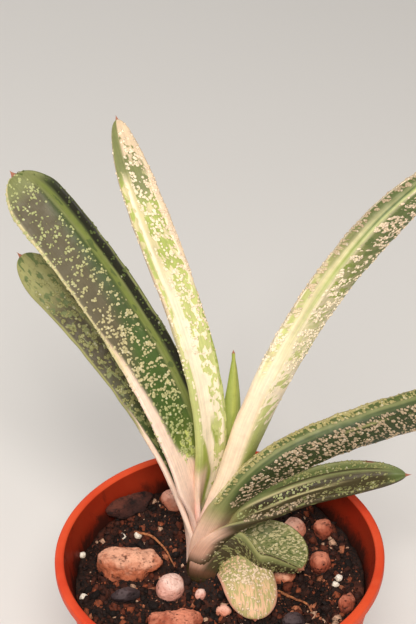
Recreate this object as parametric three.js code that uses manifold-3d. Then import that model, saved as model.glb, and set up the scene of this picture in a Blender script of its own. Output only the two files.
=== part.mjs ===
// A variegated gasteria in a small plastic nursery pot.
//
// Millimetres and degrees, +Z up. The origin is the middle of the pot's underside. The plant leans back,
// along +Y, and its two ranks of leaves spread to -X and +X. A heading is an angle from +X towards +Y.

import * as THREE from 'three';
import { mergeVertices } from 'three/addons/utils/BufferGeometryUtils.js';
import Module from 'manifold-3d';

// ---------------------------------------------------------------- driving dimensions

const CLEARANCE = 0.3; // kept between two pieces that rest on each other
const SKIN_MARGIN = 0.05; // a cutting copy stands this much further off, against the facets' chords

const POT = {
  height: 70,
  rimRadius: 40,
  rimWidth: 2.3,
  rimDepth: 2.6,
  rimRound: 0.5,
  mouthRadius: 38.4, // outside of the wall, just under the rim
  baseRadius: 26,
  baseRound: 1.2,
  wall: 1.3,
  floor: 1.6,
  sides: 60,
};
const DRAIN = { count: 6, radius: 3, ring: 16, sides: 10 };

const SOIL = {
  level: 60, // in the middle of the pot
  slope: 0.06, // it rises towards the back
  crumb: 0.7, // height of the crumbs
  mound: 3, // heaped this high round the plant's foot
  moundSpread: 4.5,
  rings: 9,
  sides: 44,
};

const STEM = {
  foot: [-4.2, -0.3, 60], // where the axis meets the soil
  crown: [-2.9, 9, 82],
  buried: 14, // length of the stock below the soil
  topHeight: 76,
  footRadius: 3.1,
  topRadius: 1.6,
  sides: 12,
  steps: 7,
};
const ROOTS = { count: 6, reach: 19, depth: 34, radius: 1.3, sides: 6, steps: 6, start: 7, firstHeading: 20 };

// The leaves, oldest first, in two ranks that clasp the stem from opposite sides. z is the height where a
// sheath leaves the stem and seat the side it stands on. sheath and wrap are the radius and the half angle
// of its clasp. flare and depart are the lengths over which it opens flat and turns away from the stem. The
// pitch is above the horizontal and falls from base to tip as (1 - share of the length) ^ arch. tipRoll
// turns the blade about its own line. crease is the place of the fold across the blade, from -1 at the left
// margin to 1 at the right, and valley its depth.
const LEAF = {
  swing: 0,
  arch: 1.2,
  depart: 14,
  flare: 22,
  wrap: 140,
  bladeWrap: 12,
  rollOver: 0.6,
  creaseBase: 0,
  creaseTip: 0,
  valley: 1.2,
  sheathThickness: 1.1,
  thickness: 2.9,
  blunt: 0.62,
  keel: 0.25,
  tip: 16,
  tipPower: 0.5,
  mucro: 1.6,
  mucroRadius: 0.45,
  wart: 0.4,
  wartStart: 20,
};
const LEAVES = {
  leaf_low_curled: {
    z: 60.8, seat: -40, sheath: 4.3, wrap: 95, heading: 55, swing: -101, basePitch: -12, tipPitch: 0,
    arch: 1.3, length: 27, width: 21, tipRoll: 7, depart: 10, flare: 9, tip: 11, valley: 0,
    bladeWrap: 78, mucro: 1, wartStart: 8,
  },
  leaf_low_tongue: {
    z: 64, seat: -10, sheath: 6.2, wrap: 40, heading: -48, swing: -44, basePitch: -9, tipPitch: -36, arch: 1,
    length: 23, width: 13.4, tipRoll: 0, depart: 8, flare: 6, tip: 9, valley: -0.6, bladeWrap: -14,
    mucro: 0.6, wartStart: 7, thickness: 3,
  },
  leaf_right_lower: {
    z: 62, seat: -40, sheath: 4.2, wrap: 125, heading: 22, swing: -28, basePitch: 53, tipPitch: 7, arch: 1.9,
    length: 59, width: 10.8, tipRoll: -32, rollOver: 0.5, depart: 20, tip: 18, tipPower: 0.6, valley: 2,
    bladeWrap: 30, wartStart: 17,
  },
  leaf_right_upper: {
    z: 62.5, seat: -40, sheath: 3.7, wrap: 125, heading: 6, swing: 13, basePitch: 103, tipPitch: 4, arch: 2.7,
    length: 90, width: 11.2, tipRoll: 104, rollOver: 0.5, depart: 22, flare: 20, tip: 18, creaseBase: 0.5,
    creaseTip: 0.25, valley: 1.5, bladeWrap: 10,
  },
  leaf_left_back: {
    z: 64, seat: 140, sheath: 3.5, wrap: 115, heading: 140, swing: 3, basePitch: 93, tipPitch: 30, arch: 1.9,
    length: 90, width: 10.8, tipRoll: 42, depart: 24, tip: 11, creaseBase: 0.1, creaseTip: 0.2,
  },
  leaf_right_pale: {
    z: 64, seat: -40, sheath: 3.2, wrap: 130, heading: 47, swing: -22, basePitch: 74, tipPitch: 22, arch: 0.8,
    length: 118, width: 11.2, tipRoll: 104, rollOver: 0.5, depart: 5, flare: 30, tip: 24, creaseBase: 0.55,
    creaseTip: 0.25, valley: 1.5, bladeWrap: 10, wartStart: 34,
  },
  leaf_left_front: {
    z: 66, seat: 140, sheath: 2.8, wrap: 115, heading: 140, swing: 8, basePitch: 101, tipPitch: 41, arch: 1.9,
    length: 107, width: 14.6, tipRoll: 47, depart: 18, tip: 11, creaseBase: 0.3, creaseTip: 0.35, valley: 2,
  },
  leaf_centre_pale: {
    z: 69, seat: 140, sheath: 2.2, wrap: 120, heading: 173, swing: -67, basePitch: 112, tipPitch: 33, arch: 1,
    length: 112, width: 9, tipRoll: 15, rollOver: 0.6, depart: 19, tip: 26, creaseBase: 0, creaseTip: -0.4,
    valley: 0.8, wartStart: 30,
  },
  leaf_centre_new: {
    z: 72, seat: -40, sheath: 1.8, wrap: 120, heading: 57, swing: 35, basePitch: 44, tipPitch: 67, arch: 1,
    length: 45, width: 6.2, tipRoll: 139, depart: 5, flare: 14, tip: 26, tipPower: 0.9, valley: 0.6,
    creaseBase: 0.2, creaseTip: 0.2, wart: 0, thickness: 2.2, mucro: 1,
  },
};
const LEAF_RING_STEP = 3.2;
const LEAF_AROUND = 14; // even, for the warts' brick pattern
const LEAF_TIP_RINGS = 4;
const LEAF_LAST_RING = 0.995; // share of the tip's length where the mucro starts

// Stones and scraps on the soil: where the middle lies, the three widths, the turn about Z and the tip
// about X, how lumpy each is and how deep it sits, as a share of its height.
const STONES = {
  stone_tan_large: {
    at: [-22.5, 4.5], size: [16, 12, 8], turn: -8, tip: 6, lump: 0.16, sunk: 0.35, seed: 3, detail: 2,
  },
  stone_red_brown: {
    at: [-11, -15.5], size: [14.5, 9, 7], turn: 4, lump: 0.15, sunk: 0.4, seed: 5, detail: 2,
  },
  stone_white_round: {
    at: [-12.2, -3.6], size: [7.3, 7, 6.6], turn: 20, lump: 0.07, sunk: 0.25, seed: 7, detail: 2,
  },
  stone_white_small: { at: [-4.8, -6.2], size: [2.8, 3, 3.4], lump: 0.06, sunk: 0.25, seed: 11 },
  stone_charcoal: { at: [-23.2, -4.9], size: [7, 4.6, 4], turn: 12, lump: 0.2, sunk: 0.35, seed: 13 },
  stone_dark_square: { at: [17.4, -15.5], size: [6.2, 5, 4.6], turn: 8, lump: 0.12, sunk: 0.35, seed: 17 },
  stone_pink_behind: { at: [18.9, 15.2], size: [6.4, 6, 6.6], turn: 30, lump: 0.1, sunk: 0.3, seed: 19 },
  stone_pink_left: { at: [-11.6, 27.2], size: [6, 6, 6.6], lump: 0.1, sunk: 0.3, seed: 23 },
  stone_pale_pink: { at: [0.7, -10.6], size: [4, 3.6, 3.2], lump: 0.08, sunk: 0.3, seed: 29 },
  stone_tan_right: { at: [15.8, 0.6], size: [7, 5.4, 4.6], turn: 14, lump: 0.12, sunk: 0.35, seed: 31 },
  stone_brown_front: { at: [25, 4.2], size: [6, 5.6, 6], turn: 40, lump: 0.1, sunk: 0.3, seed: 37 },
  stone_brown_back: { at: [26.4, 15.6], size: [5.6, 5.2, 6], turn: 70, lump: 0.1, sunk: 0.3, seed: 41 },
  stone_brown_wall: { at: [30.6, -9], size: [4.4, 6, 5], turn: -20, lump: 0.1, sunk: 0.35, seed: 43 },
  bark_slab: { at: [-22.5, 24.8], size: [14.5, 6.5, 3], turn: 36, tip: 28, lump: 0.14, sunk: -0.4, seed: 47 },
};
const PERLITE = {
  places: [[-34.4, 9.4], [-33.4, -5], [-24.3, 15.4], [-20.6, 15.9], [28.2, -3.4], [29.2, -1.2]],
  size: 2.1,
  lump: 0.12,
  sunk: 0.3,
};
const STONE_DETAIL = 1;

// Two dry root threads on the soil, through these points, each given as x, y and height above the soil.
const THREADS = {
  thread_left: [[-21.5, 17, 0.6], [-17, 14, 1.6], [-13.5, 9.5, 1.4], [-11, 4.5, 0.6]],
  thread_right: [[14, -4.6, 0.5], [17.5, -7.4, 1.5], [21, -10.6, 1.4], [22.6, -14.6, 0.5]],
};
const THREAD = { radius: 0.4, sides: 6, steps: 8 };

const COLOURS = {
  pot: 0xd9492c,
  soil: 0x241510,
  stem: 0xb89a84,
  darkLeaf: 0x3f5c3c,
  greenLeaf: 0x7f9a55,
  paleLeaf: 0xd8d3a2,
  stones: [0xb78461, 0x8a4a36, 0xe2bfb2, 0xdcc3b8, 0x2c2526, 0x3a2f33, 0xc98f78],
  bark: 0x2f1a15,
  perlite: 0xe6dccb,
  thread: 0x8d5a32,
};

// ---------------------------------------------------------------- small helpers

const wasm = await Module();
wasm.setup();

const rad = THREE.MathUtils.degToRad;
const mix = THREE.MathUtils.lerp;
const smooth = (x) => THREE.MathUtils.smoothstep(x, 0, 1);

// A generator of numbers from 0 to 1 that gives the same row for the same seed.
function makeRandom(seed) {
  let state = seed;
  return () => {
    state = (state * 1664525 + 1013904223) % 4294967296;
    return state / 4294967296;
  };
}

// The point of the stem's axis at a height.
function stemAxis(z) {
  const foot = new THREE.Vector3(...STEM.foot);
  const crown = new THREE.Vector3(...STEM.crown);
  return foot.lerp(crown, (z - STEM.foot[2]) / (STEM.crown[2] - STEM.foot[2]));
}
const STEM_DIRECTION = stemAxis(STEM.crown[2]).sub(stemAxis(STEM.foot[2])).normalize();

function soilHeight(x, y) {
  const swell = 0.5 * Math.sin(x * 0.21 + 1) * Math.cos(y * 0.17) + 0.35 * Math.sin(x * 0.45 - y * 0.38);
  const fromFoot = Math.hypot(x - STEM.foot[0], y - STEM.foot[1]);
  const heap = SOIL.mound * Math.exp(-((fromFoot / SOIL.moundSpread) ** 2));
  return SOIL.level + SOIL.slope * y + swell + heap;
}

// One list of shared corners, with no triangle that has lost an edge.
function weld(geometry) {
  const bare = geometry.clone();
  bare.deleteAttribute('normal');
  bare.deleteAttribute('uv');
  const merged = mergeVertices(bare, 1e-3);
  const corners = merged.index.array;
  const kept = [];
  for (let i = 0; i < corners.length; i += 3) {
    const [a, b, c] = corners.slice(i, i + 3);
    if (a !== b && b !== c && c !== a) kept.push(a, b, c);
  }
  merged.setIndex(kept);
  return merged;
}

function signedVolume(geometry) {
  const at = (i) => new THREE.Vector3().fromBufferAttribute(geometry.attributes.position, i);
  const corners = geometry.index.array;
  let volume = 0;
  for (let i = 0; i < corners.length; i += 3) {
    volume += at(corners[i]).dot(at(corners[i + 1]).cross(at(corners[i + 2]))) / 6;
  }
  return volume;
}

// A closed geometry as a solid, turned to face out.
function solid(geometry) {
  const closed = weld(geometry);
  const corners = Uint32Array.from(closed.index.array);
  if (signedVolume(closed) < 0) corners.reverse();
  const points = Float32Array.from(closed.attributes.position.array);
  return new wasm.Manifold(new wasm.Mesh({ numProp: 3, vertProperties: points, triVerts: corners }));
}

function facetsOf(body) {
  const mesh = body.getMesh();
  const geometry = new THREE.BufferGeometry();
  geometry.setAttribute('position', new THREE.BufferAttribute(Float32Array.from(mesh.vertProperties), 3));
  geometry.setIndex(Array.from(mesh.triVerts));
  return geometry;
}

// The largest body of a solid, as a geometry. Bodies that meet in a corner only come apart once their
// corners are merged, so the choice is made again on the merged facets.
function geometryOf(body) {
  const largest = (bodies) => bodies.reduce((a, b) => (b.volume() > a.volume() ? b : a));
  const first = largest(body.decompose());
  return facetsOf(largest(solid(facetsOf(first)).decompose()));
}

function material(colour, roughness) {
  return new THREE.MeshStandardMaterial({ color: colour, roughness, metalness: 0, flatShading: true });
}

// A closed skin over rings of equal, even count. An end is closed across the ring, from each point to its
// mirror twin, so that it stays inside a ring that is bent like a C. With an apex the last end runs to that
// point.
function skin(rings, apex) {
  const around = rings[0].length;
  const points = rings.flat();
  const corners = [];
  const at = (ring, k) => ring * around + (k % around);
  for (let ring = 0; ring + 1 < rings.length; ring += 1) {
    for (let k = 0; k < around; k += 1) {
      corners.push(at(ring, k), at(ring, k + 1), at(ring + 1, k + 1));
      corners.push(at(ring, k), at(ring + 1, k + 1), at(ring + 1, k));
    }
  }
  const top = rings.length - 1;
  for (let k = 0; k < around / 2; k += 1) {
    const twin = around - k;
    corners.push(at(0, k), at(0, twin), at(0, k + 1));
    corners.push(at(0, k + 1), at(0, twin), at(0, twin - 1));
    if (apex) continue;
    corners.push(at(top, k), at(top, k + 1), at(top, twin));
    corners.push(at(top, k + 1), at(top, twin - 1), at(top, twin));
  }
  if (apex) {
    points.push(apex);
    for (let k = 0; k < around; k += 1) corners.push(at(top, k), at(top, k + 1), points.length - 1);
  }
  const geometry = new THREE.BufferGeometry().setFromPoints(points);
  geometry.setIndex(corners);
  return geometry;
}

// ---------------------------------------------------------------- pot

function potWallRadius(z) {
  return mix(POT.baseRadius, POT.mouthRadius, z / (POT.height - POT.rimDepth));
}

function potSolid(grow) {
  const { height, rimRadius, rimWidth, rimDepth, rimRound, baseRadius, baseRound, floor } = POT;
  const wall = POT.wall + grow;
  const rimFoot = height - rimDepth;
  const rimInner = rimRadius - rimWidth;
  const profile = [
    [0, 0],
    [baseRadius - baseRound, 0],
    [baseRadius, baseRound],
    [potWallRadius(rimFoot), rimFoot],
    [rimRadius - rimRound, rimFoot],
    [rimRadius, rimFoot + rimRound],
    [rimRadius, height - rimRound],
    [rimRadius - rimRound, height],
    [rimInner + rimRound, height],
    [rimInner, height - rimRound],
    [potWallRadius(rimFoot) - wall, rimFoot],
    [potWallRadius(floor) - wall, floor],
    [0, floor],
  ];
  const turned = new THREE.LatheGeometry(profile.map(([r, z]) => new THREE.Vector2(r, z)), POT.sides);
  let pot = solid(turned.rotateX(Math.PI / 2));
  for (let i = 0; i < DRAIN.count; i += 1) {
    const angle = (i / DRAIN.count) * 2 * Math.PI;
    const hole = new THREE.CylinderGeometry(DRAIN.radius, DRAIN.radius, 3 * floor, DRAIN.sides);
    hole.rotateX(Math.PI / 2);
    hole.translate(DRAIN.ring * Math.cos(angle), DRAIN.ring * Math.sin(angle), floor / 2);
    pot = pot.subtract(solid(hole));
  }
  return pot;
}

// ---------------------------------------------------------------- stem and roots

// A round stock that tapers along the stem's axis, with fleshy roots that arch out and down from its buried
// part.
function stemSolid(grow) {
  const low = STEM.foot[2] - STEM.buried;
  const rings = [];
  for (let i = 0; i <= STEM.steps; i += 1) {
    const z = mix(low - grow, STEM.topHeight + grow, i / STEM.steps);
    const radius = grow + mix(STEM.footRadius, STEM.topRadius, smooth((z - low) / (STEM.topHeight - low)));
    const ring = [];
    for (let k = 0; k < STEM.sides; k += 1) {
      const angle = (k / STEM.sides) * 2 * Math.PI;
      ring.push(stemAxis(z).add(new THREE.Vector3(radius * Math.cos(angle), radius * Math.sin(angle), 0)));
    }
    rings.push(ring);
  }
  let stem = solid(skin(rings));
  for (let i = 0; i < ROOTS.count; i += 1) stem = stem.add(rootSolid(i, grow));
  return stem;
}

function rootSolid(index, grow) {
  const heading = rad(ROOTS.firstHeading) + (index / ROOTS.count) * 2 * Math.PI;
  const out = new THREE.Vector3(Math.cos(heading), Math.sin(heading), 0);
  const start = stemAxis(STEM.foot[2] - ROOTS.start);
  const point = (share) => start.clone().addScaledVector(out, ROOTS.reach * Math.sin((share * Math.PI) / 2))
    .setZ(start.z - ROOTS.depth * share ** 2);
  const path = new THREE.CatmullRomCurve3([0, 0.25, 0.5, 0.75, 1].map(point));
  const outline = new THREE.Shape().absarc(0, 0, ROOTS.radius + grow, 0, 2 * Math.PI);
  const tube = new THREE.ExtrudeGeometry(outline, {
    steps: ROOTS.steps, curveSegments: ROOTS.sides / 2, extrudePath: path,
  });
  return solid(tube);
}

// ---------------------------------------------------------------- leaves

// Half the width of a leaf at a distance along it.
function leafHalfWidth(leaf, along) {
  const base = leaf.sheath * rad(leaf.wrap);
  const open = mix(base, leaf.width / 2, smooth(along / leaf.flare));
  const tipShare = THREE.MathUtils.clamp((along - (leaf.length - leaf.tip)) / leaf.tip, 0, 1);
  return Math.max(open * (1 - tipShare ** 2) ** leaf.tipPower, leaf.mucroRadius);
}

// The leaf's middle line: its points and directions at the given distances.
function leafSpine(leaf, distances) {
  const outward = new THREE.Vector3(Math.cos(rad(leaf.seat)), Math.sin(rad(leaf.seat)), 0);
  const here = stemAxis(leaf.z).addScaledVector(outward, leaf.sheath);
  const direction = (along) => {
    const share = THREE.MathUtils.clamp(along / leaf.length, 0, 1);
    const heading = rad(leaf.heading + leaf.swing * share);
    const pitch = rad(mix(leaf.tipPitch, leaf.basePitch, (1 - share) ** leaf.arch));
    const free = new THREE.Vector3(
      Math.cos(pitch) * Math.cos(heading), Math.cos(pitch) * Math.sin(heading), Math.sin(pitch),
    );
    return STEM_DIRECTION.clone().lerp(free, smooth(along / leaf.depart)).normalize();
  };
  const finest = 0.5;
  let travelled = 0;
  return distances.map((along) => {
    while (travelled < along) {
      const step = Math.min(finest, along - travelled);
      here.addScaledVector(direction(travelled + step / 2), step);
      travelled += step;
    }
    return { along, point: here.clone(), direction: direction(along) };
  });
}

// The two axes of the section: across, towards the right margin seen from the base, and up, out of the
// upper face.
function leafAxes(leaf, station) {
  const share = THREE.MathUtils.clamp(station.along / leaf.length, 0, 1);
  const heading = rad(leaf.heading + leaf.swing * share);
  const level = new THREE.Vector3(Math.sin(heading), -Math.cos(heading), 0);
  level.addScaledVector(station.direction, -level.dot(station.direction)).normalize();
  const lifted = level.clone().cross(station.direction);
  const roll = rad(mix(leaf.heading - leaf.seat, leaf.tipRoll, smooth(share / leaf.rollOver)));
  return {
    across: level.clone().multiplyScalar(Math.cos(roll)).addScaledVector(lifted, Math.sin(roll)),
    up: lifted.clone().multiplyScalar(Math.cos(roll)).addScaledVector(level, -Math.sin(roll)),
  };
}

// A point of the section, as [across, up]. The angle runs round the edge: 0 and pi are the margins, and the
// upper face lies between them.
function leafSection(leaf, along, angle, grow, raised) {
  const half = leafHalfWidth(leaf, along);
  const opened = smooth(along / leaf.flare);
  const share = half / (leaf.width / 2);
  const bend = rad(mix(leaf.wrap, leaf.bladeWrap, opened));
  const radius = half / bend;
  const u = Math.cos(angle);
  const round = Math.abs(Math.sin(angle)) ** leaf.blunt;
  const atMargin = round < 0.3;
  const turn = (bend * u * (half + (atMargin ? grow : 0))) / half;
  const crease = mix(leaf.creaseBase, leaf.creaseTip, along / leaf.length);
  const fold = leaf.valley * opened * Math.min(share, 1) * (Math.hypot(u - crease, 0.1) - 0.1);
  const thickest = mix(leaf.sheathThickness, leaf.thickness, opened) * Math.min(share, 1) ** 0.6;
  const keel = 1 + leaf.keel * opened * (1 - Math.abs(u - crease));
  const upper = Math.sin(angle) >= 0;
  const skinDepth = Math.max(upper ? thickest * 0.4 * round : thickest * 0.6 * keel * round, 0);
  const reach = (upper ? 1 : -1) * (skinDepth + (raised ? leaf.wart : 0) + (atMargin ? 0 : grow));
  return [
    radius * Math.sin(turn) - Math.sin(turn) * (fold + reach),
    radius * (1 - Math.cos(turn)) + Math.cos(turn) * (fold + reach),
  ];
}

function leafSolid(leaf, grow) {
  const bladeRings = Math.ceil((leaf.length - leaf.tip) / LEAF_RING_STEP);
  const distances = [];
  for (let i = 0; i < bladeRings; i += 1) distances.push((i / bladeRings) * (leaf.length - leaf.tip));
  for (let i = 0; i <= LEAF_TIP_RINGS; i += 1) {
    const tipShare = LEAF_LAST_RING * Math.sin(((i / LEAF_TIP_RINGS) * Math.PI) / 2);
    distances.push(leaf.length - leaf.tip * (1 - tipShare));
  }
  const stations = leafSpine(leaf, distances);
  const rings = stations.map((station, i) => {
    const { across, up } = leafAxes(leaf, station);
    const middle = station.point.clone();
    if (i === 0) middle.addScaledVector(station.direction, -grow);
    const ring = [];
    for (let k = 0; k < LEAF_AROUND; k += 1) {
      const angle = (k / LEAF_AROUND) * 2 * Math.PI;
      const crease = mix(leaf.creaseBase, leaf.creaseTip, station.along / leaf.length);
      const smoothStripe = Math.abs(Math.cos(angle) - crease) < 0.16;
      const warty = station.along > leaf.wartStart && station.along < leaf.length - leaf.tip * 0.3;
      const raised = warty && !smoothStripe && i % 2 === 0 && (k + i / 2) % 2 === 0;
      const [x, y] = leafSection(leaf, station.along, angle, grow, raised);
      ring.push(middle.clone().addScaledVector(across, x).addScaledVector(up, y));
    }
    return ring;
  });
  const last = stations[stations.length - 1];
  const apex = last.point.clone().addScaledVector(last.direction, leaf.mucro + grow);
  return solid(skin(rings, apex));
}

// ---------------------------------------------------------------- stones, bark, perlite and threads

// A ball pushed in and out by a few waves, scaled, turned and set into the soil.
function pebbleSolid({ at, size, turn = 0, tip = 0, lump, sunk, seed, detail = STONE_DETAIL }, grow) {
  const random = makeRandom(seed);
  const waves = Array.from({ length: 6 }, () => ({
    way: new THREE.Vector3(random() - 0.5, random() - 0.5, random() - 0.5).normalize(),
    pitch: 2 + 3 * random(),
    phase: 6 * random(),
  }));
  const ball = weld(new THREE.IcosahedronGeometry(1, detail));
  const place = ball.attributes.position;
  for (let i = 0; i < place.count; i += 1) {
    const point = new THREE.Vector3().fromBufferAttribute(place, i);
    const push = waves.reduce((sum, w) => sum + Math.sin(w.pitch * point.dot(w.way) + w.phase), 0);
    point.multiplyScalar(1 + (2 * lump * push) / waves.length);
    point.multiply(new THREE.Vector3(...size).multiplyScalar(0.5).addScalar(grow));
    place.setXYZ(i, point.x, point.y, point.z);
  }
  ball.rotateX(rad(tip)).rotateZ(rad(turn));
  const [x, y] = at;
  ball.translate(x, y, soilHeight(x, y) + size[2] * (0.5 - sunk));
  return solid(ball);
}

function perliteParts() {
  return Object.fromEntries(PERLITE.places.map((at, i) => [`perlite_${i + 1}`, {
    at,
    size: [PERLITE.size, PERLITE.size * 0.85, PERLITE.size * 0.9],
    turn: 50 * i,
    lump: PERLITE.lump,
    sunk: PERLITE.sunk,
    seed: 60 + i,
    detail: 1,
  }]));
}

function threadSolid(points, grow) {
  const lifted = points.map(([x, y, h]) => new THREE.Vector3(x, y, soilHeight(x, y) + h));
  const path = new THREE.CatmullRomCurve3(lifted);
  const outline = new THREE.Shape().absarc(0, 0, THREAD.radius + grow, 0, 2 * Math.PI);
  return solid(new THREE.ExtrudeGeometry(outline, {
    steps: THREAD.steps, curveSegments: THREAD.sides / 2, extrudePath: path,
  }));
}

// ---------------------------------------------------------------- soil

// A plug that fills the pot with a crumbly top. What stands in it is cut out of it afterwards.
function soilSolid() {
  const random = makeRandom(2);
  const bottom = POT.floor + CLEARANCE;
  const inner = (z) => (potWallRadius(z) - POT.wall - CLEARANCE) * Math.cos(Math.PI / SOIL.sides);
  const profile = [new THREE.Vector2(0, bottom), new THREE.Vector2(inner(bottom), bottom)];
  for (let i = SOIL.rings; i >= 0; i -= 1) {
    profile.push(new THREE.Vector2((inner(SOIL.level) * i) / SOIL.rings, SOIL.level));
  }
  const plug = weld(new THREE.LatheGeometry(profile, SOIL.sides).rotateX(Math.PI / 2));
  const place = plug.attributes.position;
  for (let i = 0; i < place.count; i += 1) {
    if (place.getZ(i) < SOIL.level - 1) continue;
    const x = place.getX(i);
    const y = place.getY(i);
    const z = soilHeight(x, y) + SOIL.crumb * (random() - 0.5) * 2;
    const pull = Math.min(1, inner(z) / Math.max(Math.hypot(x, y), 1));
    place.setXYZ(i, x * pull, y * pull, z);
  }
  return solid(plug);
}

// ---------------------------------------------------------------- the assembly

const group = new THREE.Group();
const FINISH = { pot: 0.45, soil: 0.95, plant: 0.5, stone: 0.85 };

function place(name, body, colour, roughness) {
  const mesh = new THREE.Mesh(geometryOf(body), material(colour, roughness));
  mesh.name = name;
  group.add(mesh);
}

const LEAF_COLOURS = {
  leaf_low_tongue: COLOURS.paleLeaf,
  leaf_low_curled: COLOURS.greenLeaf,
  leaf_right_lower: COLOURS.greenLeaf,
  leaf_right_upper: COLOURS.darkLeaf,
  leaf_left_back: COLOURS.darkLeaf,
  leaf_right_pale: COLOURS.paleLeaf,
  leaf_left_front: COLOURS.darkLeaf,
  leaf_centre_pale: COLOURS.paleLeaf,
  leaf_centre_new: COLOURS.greenLeaf,
};

const gap = CLEARANCE + SKIN_MARGIN;
place('pot', potSolid(0), COLOURS.pot, FINISH.pot);

// The stem stays whole. Each leaf, from the oldest to the newest, is cut clear of the stem and of the older
// sheaths.
const cutters = [stemSolid(gap)];
place('stem_and_roots', stemSolid(0), COLOURS.stem, FINISH.plant);
for (const [name, shape] of Object.entries(LEAVES)) {
  const leaf = { ...LEAF, ...shape };
  const body = cutters.reduce((left, cutter) => left.subtract(cutter), leafSolid(leaf, 0));
  place(name, body, LEAF_COLOURS[name], FINISH.plant);
  cutters.push(leafSolid(leaf, gap));
}

// The stones lie clear of the wall, the plant and each other, then the threads over them.
const inTheWall = potSolid(gap);
const stones = Object.entries({ ...STONES, ...perliteParts() });
stones.forEach(([name, stone], i) => {
  const whole = pebbleSolid(stone, 0).subtract(inTheWall);
  const body = cutters.reduce((left, cutter) => left.subtract(cutter), whole);
  const own = COLOURS.stones[i % COLOURS.stones.length];
  const colour = name.startsWith('perlite') ? COLOURS.perlite : name === 'bark_slab' ? COLOURS.bark : own;
  place(name, body, colour, FINISH.stone);
  cutters.push(pebbleSolid(stone, gap));
});
for (const [name, points] of Object.entries(THREADS)) {
  const body = cutters.reduce((left, cutter) => left.subtract(cutter), threadSolid(points, 0));
  place(name, body, COLOURS.thread, FINISH.stone);
  cutters.push(threadSolid(points, gap));
}

const soil = cutters.reduce((left, cutter) => left.subtract(cutter), soilSolid());
place('soil', soil, COLOURS.soil, FINISH.soil);

export default group;
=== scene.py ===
"""A variegated gasteria in its nursery pot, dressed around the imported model."""

import math
from types import SimpleNamespace

import bmesh
import bpy
import numpy as np
from mathutils import Matrix, Vector


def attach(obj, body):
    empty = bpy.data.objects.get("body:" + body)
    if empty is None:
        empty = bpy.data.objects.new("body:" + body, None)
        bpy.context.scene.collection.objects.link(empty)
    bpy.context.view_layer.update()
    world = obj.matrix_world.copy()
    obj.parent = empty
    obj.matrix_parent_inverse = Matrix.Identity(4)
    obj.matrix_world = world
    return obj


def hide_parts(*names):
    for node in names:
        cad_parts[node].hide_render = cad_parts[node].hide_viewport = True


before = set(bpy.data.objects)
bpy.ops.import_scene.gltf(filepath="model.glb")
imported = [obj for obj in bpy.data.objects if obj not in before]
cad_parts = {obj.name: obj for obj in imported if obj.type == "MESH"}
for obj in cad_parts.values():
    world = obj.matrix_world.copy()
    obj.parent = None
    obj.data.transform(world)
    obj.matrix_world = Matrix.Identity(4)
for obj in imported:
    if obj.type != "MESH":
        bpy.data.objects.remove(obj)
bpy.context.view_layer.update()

MM = 0.001  # every length below is in millimetres until a mesh is made

# ---- sizes shared with the solids

POT = SimpleNamespace(
    height=70, rim_radius=40, rim_width=2.3, rim_depth=2.6, mouth_radius=38.4,
    base_radius=26, base_round=1.2, wall=1.3, floor=1.6,
)
DRAIN = SimpleNamespace(count=6, radius=3, ring=16)
SOIL_LEVEL = 60
SOIL_MOUND = SimpleNamespace(height=3, spread=4.5)  # heaped round the plant's foot
LOOSE_SOIL = SimpleNamespace(height=2.7, spread=6.2)  # what has fallen against the foot as well
FOOT = np.array([-4.2, -0.3, 60.0])
CROWN = np.array([-2.9, 9.0, 82.0])
STEM = SimpleNamespace(buried=14, top=76, foot_radius=3.1, top_radius=1.6)
ROOTS = SimpleNamespace(count=6, reach=19, depth=34, radius=1.3, start=7, first_heading=20)

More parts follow.
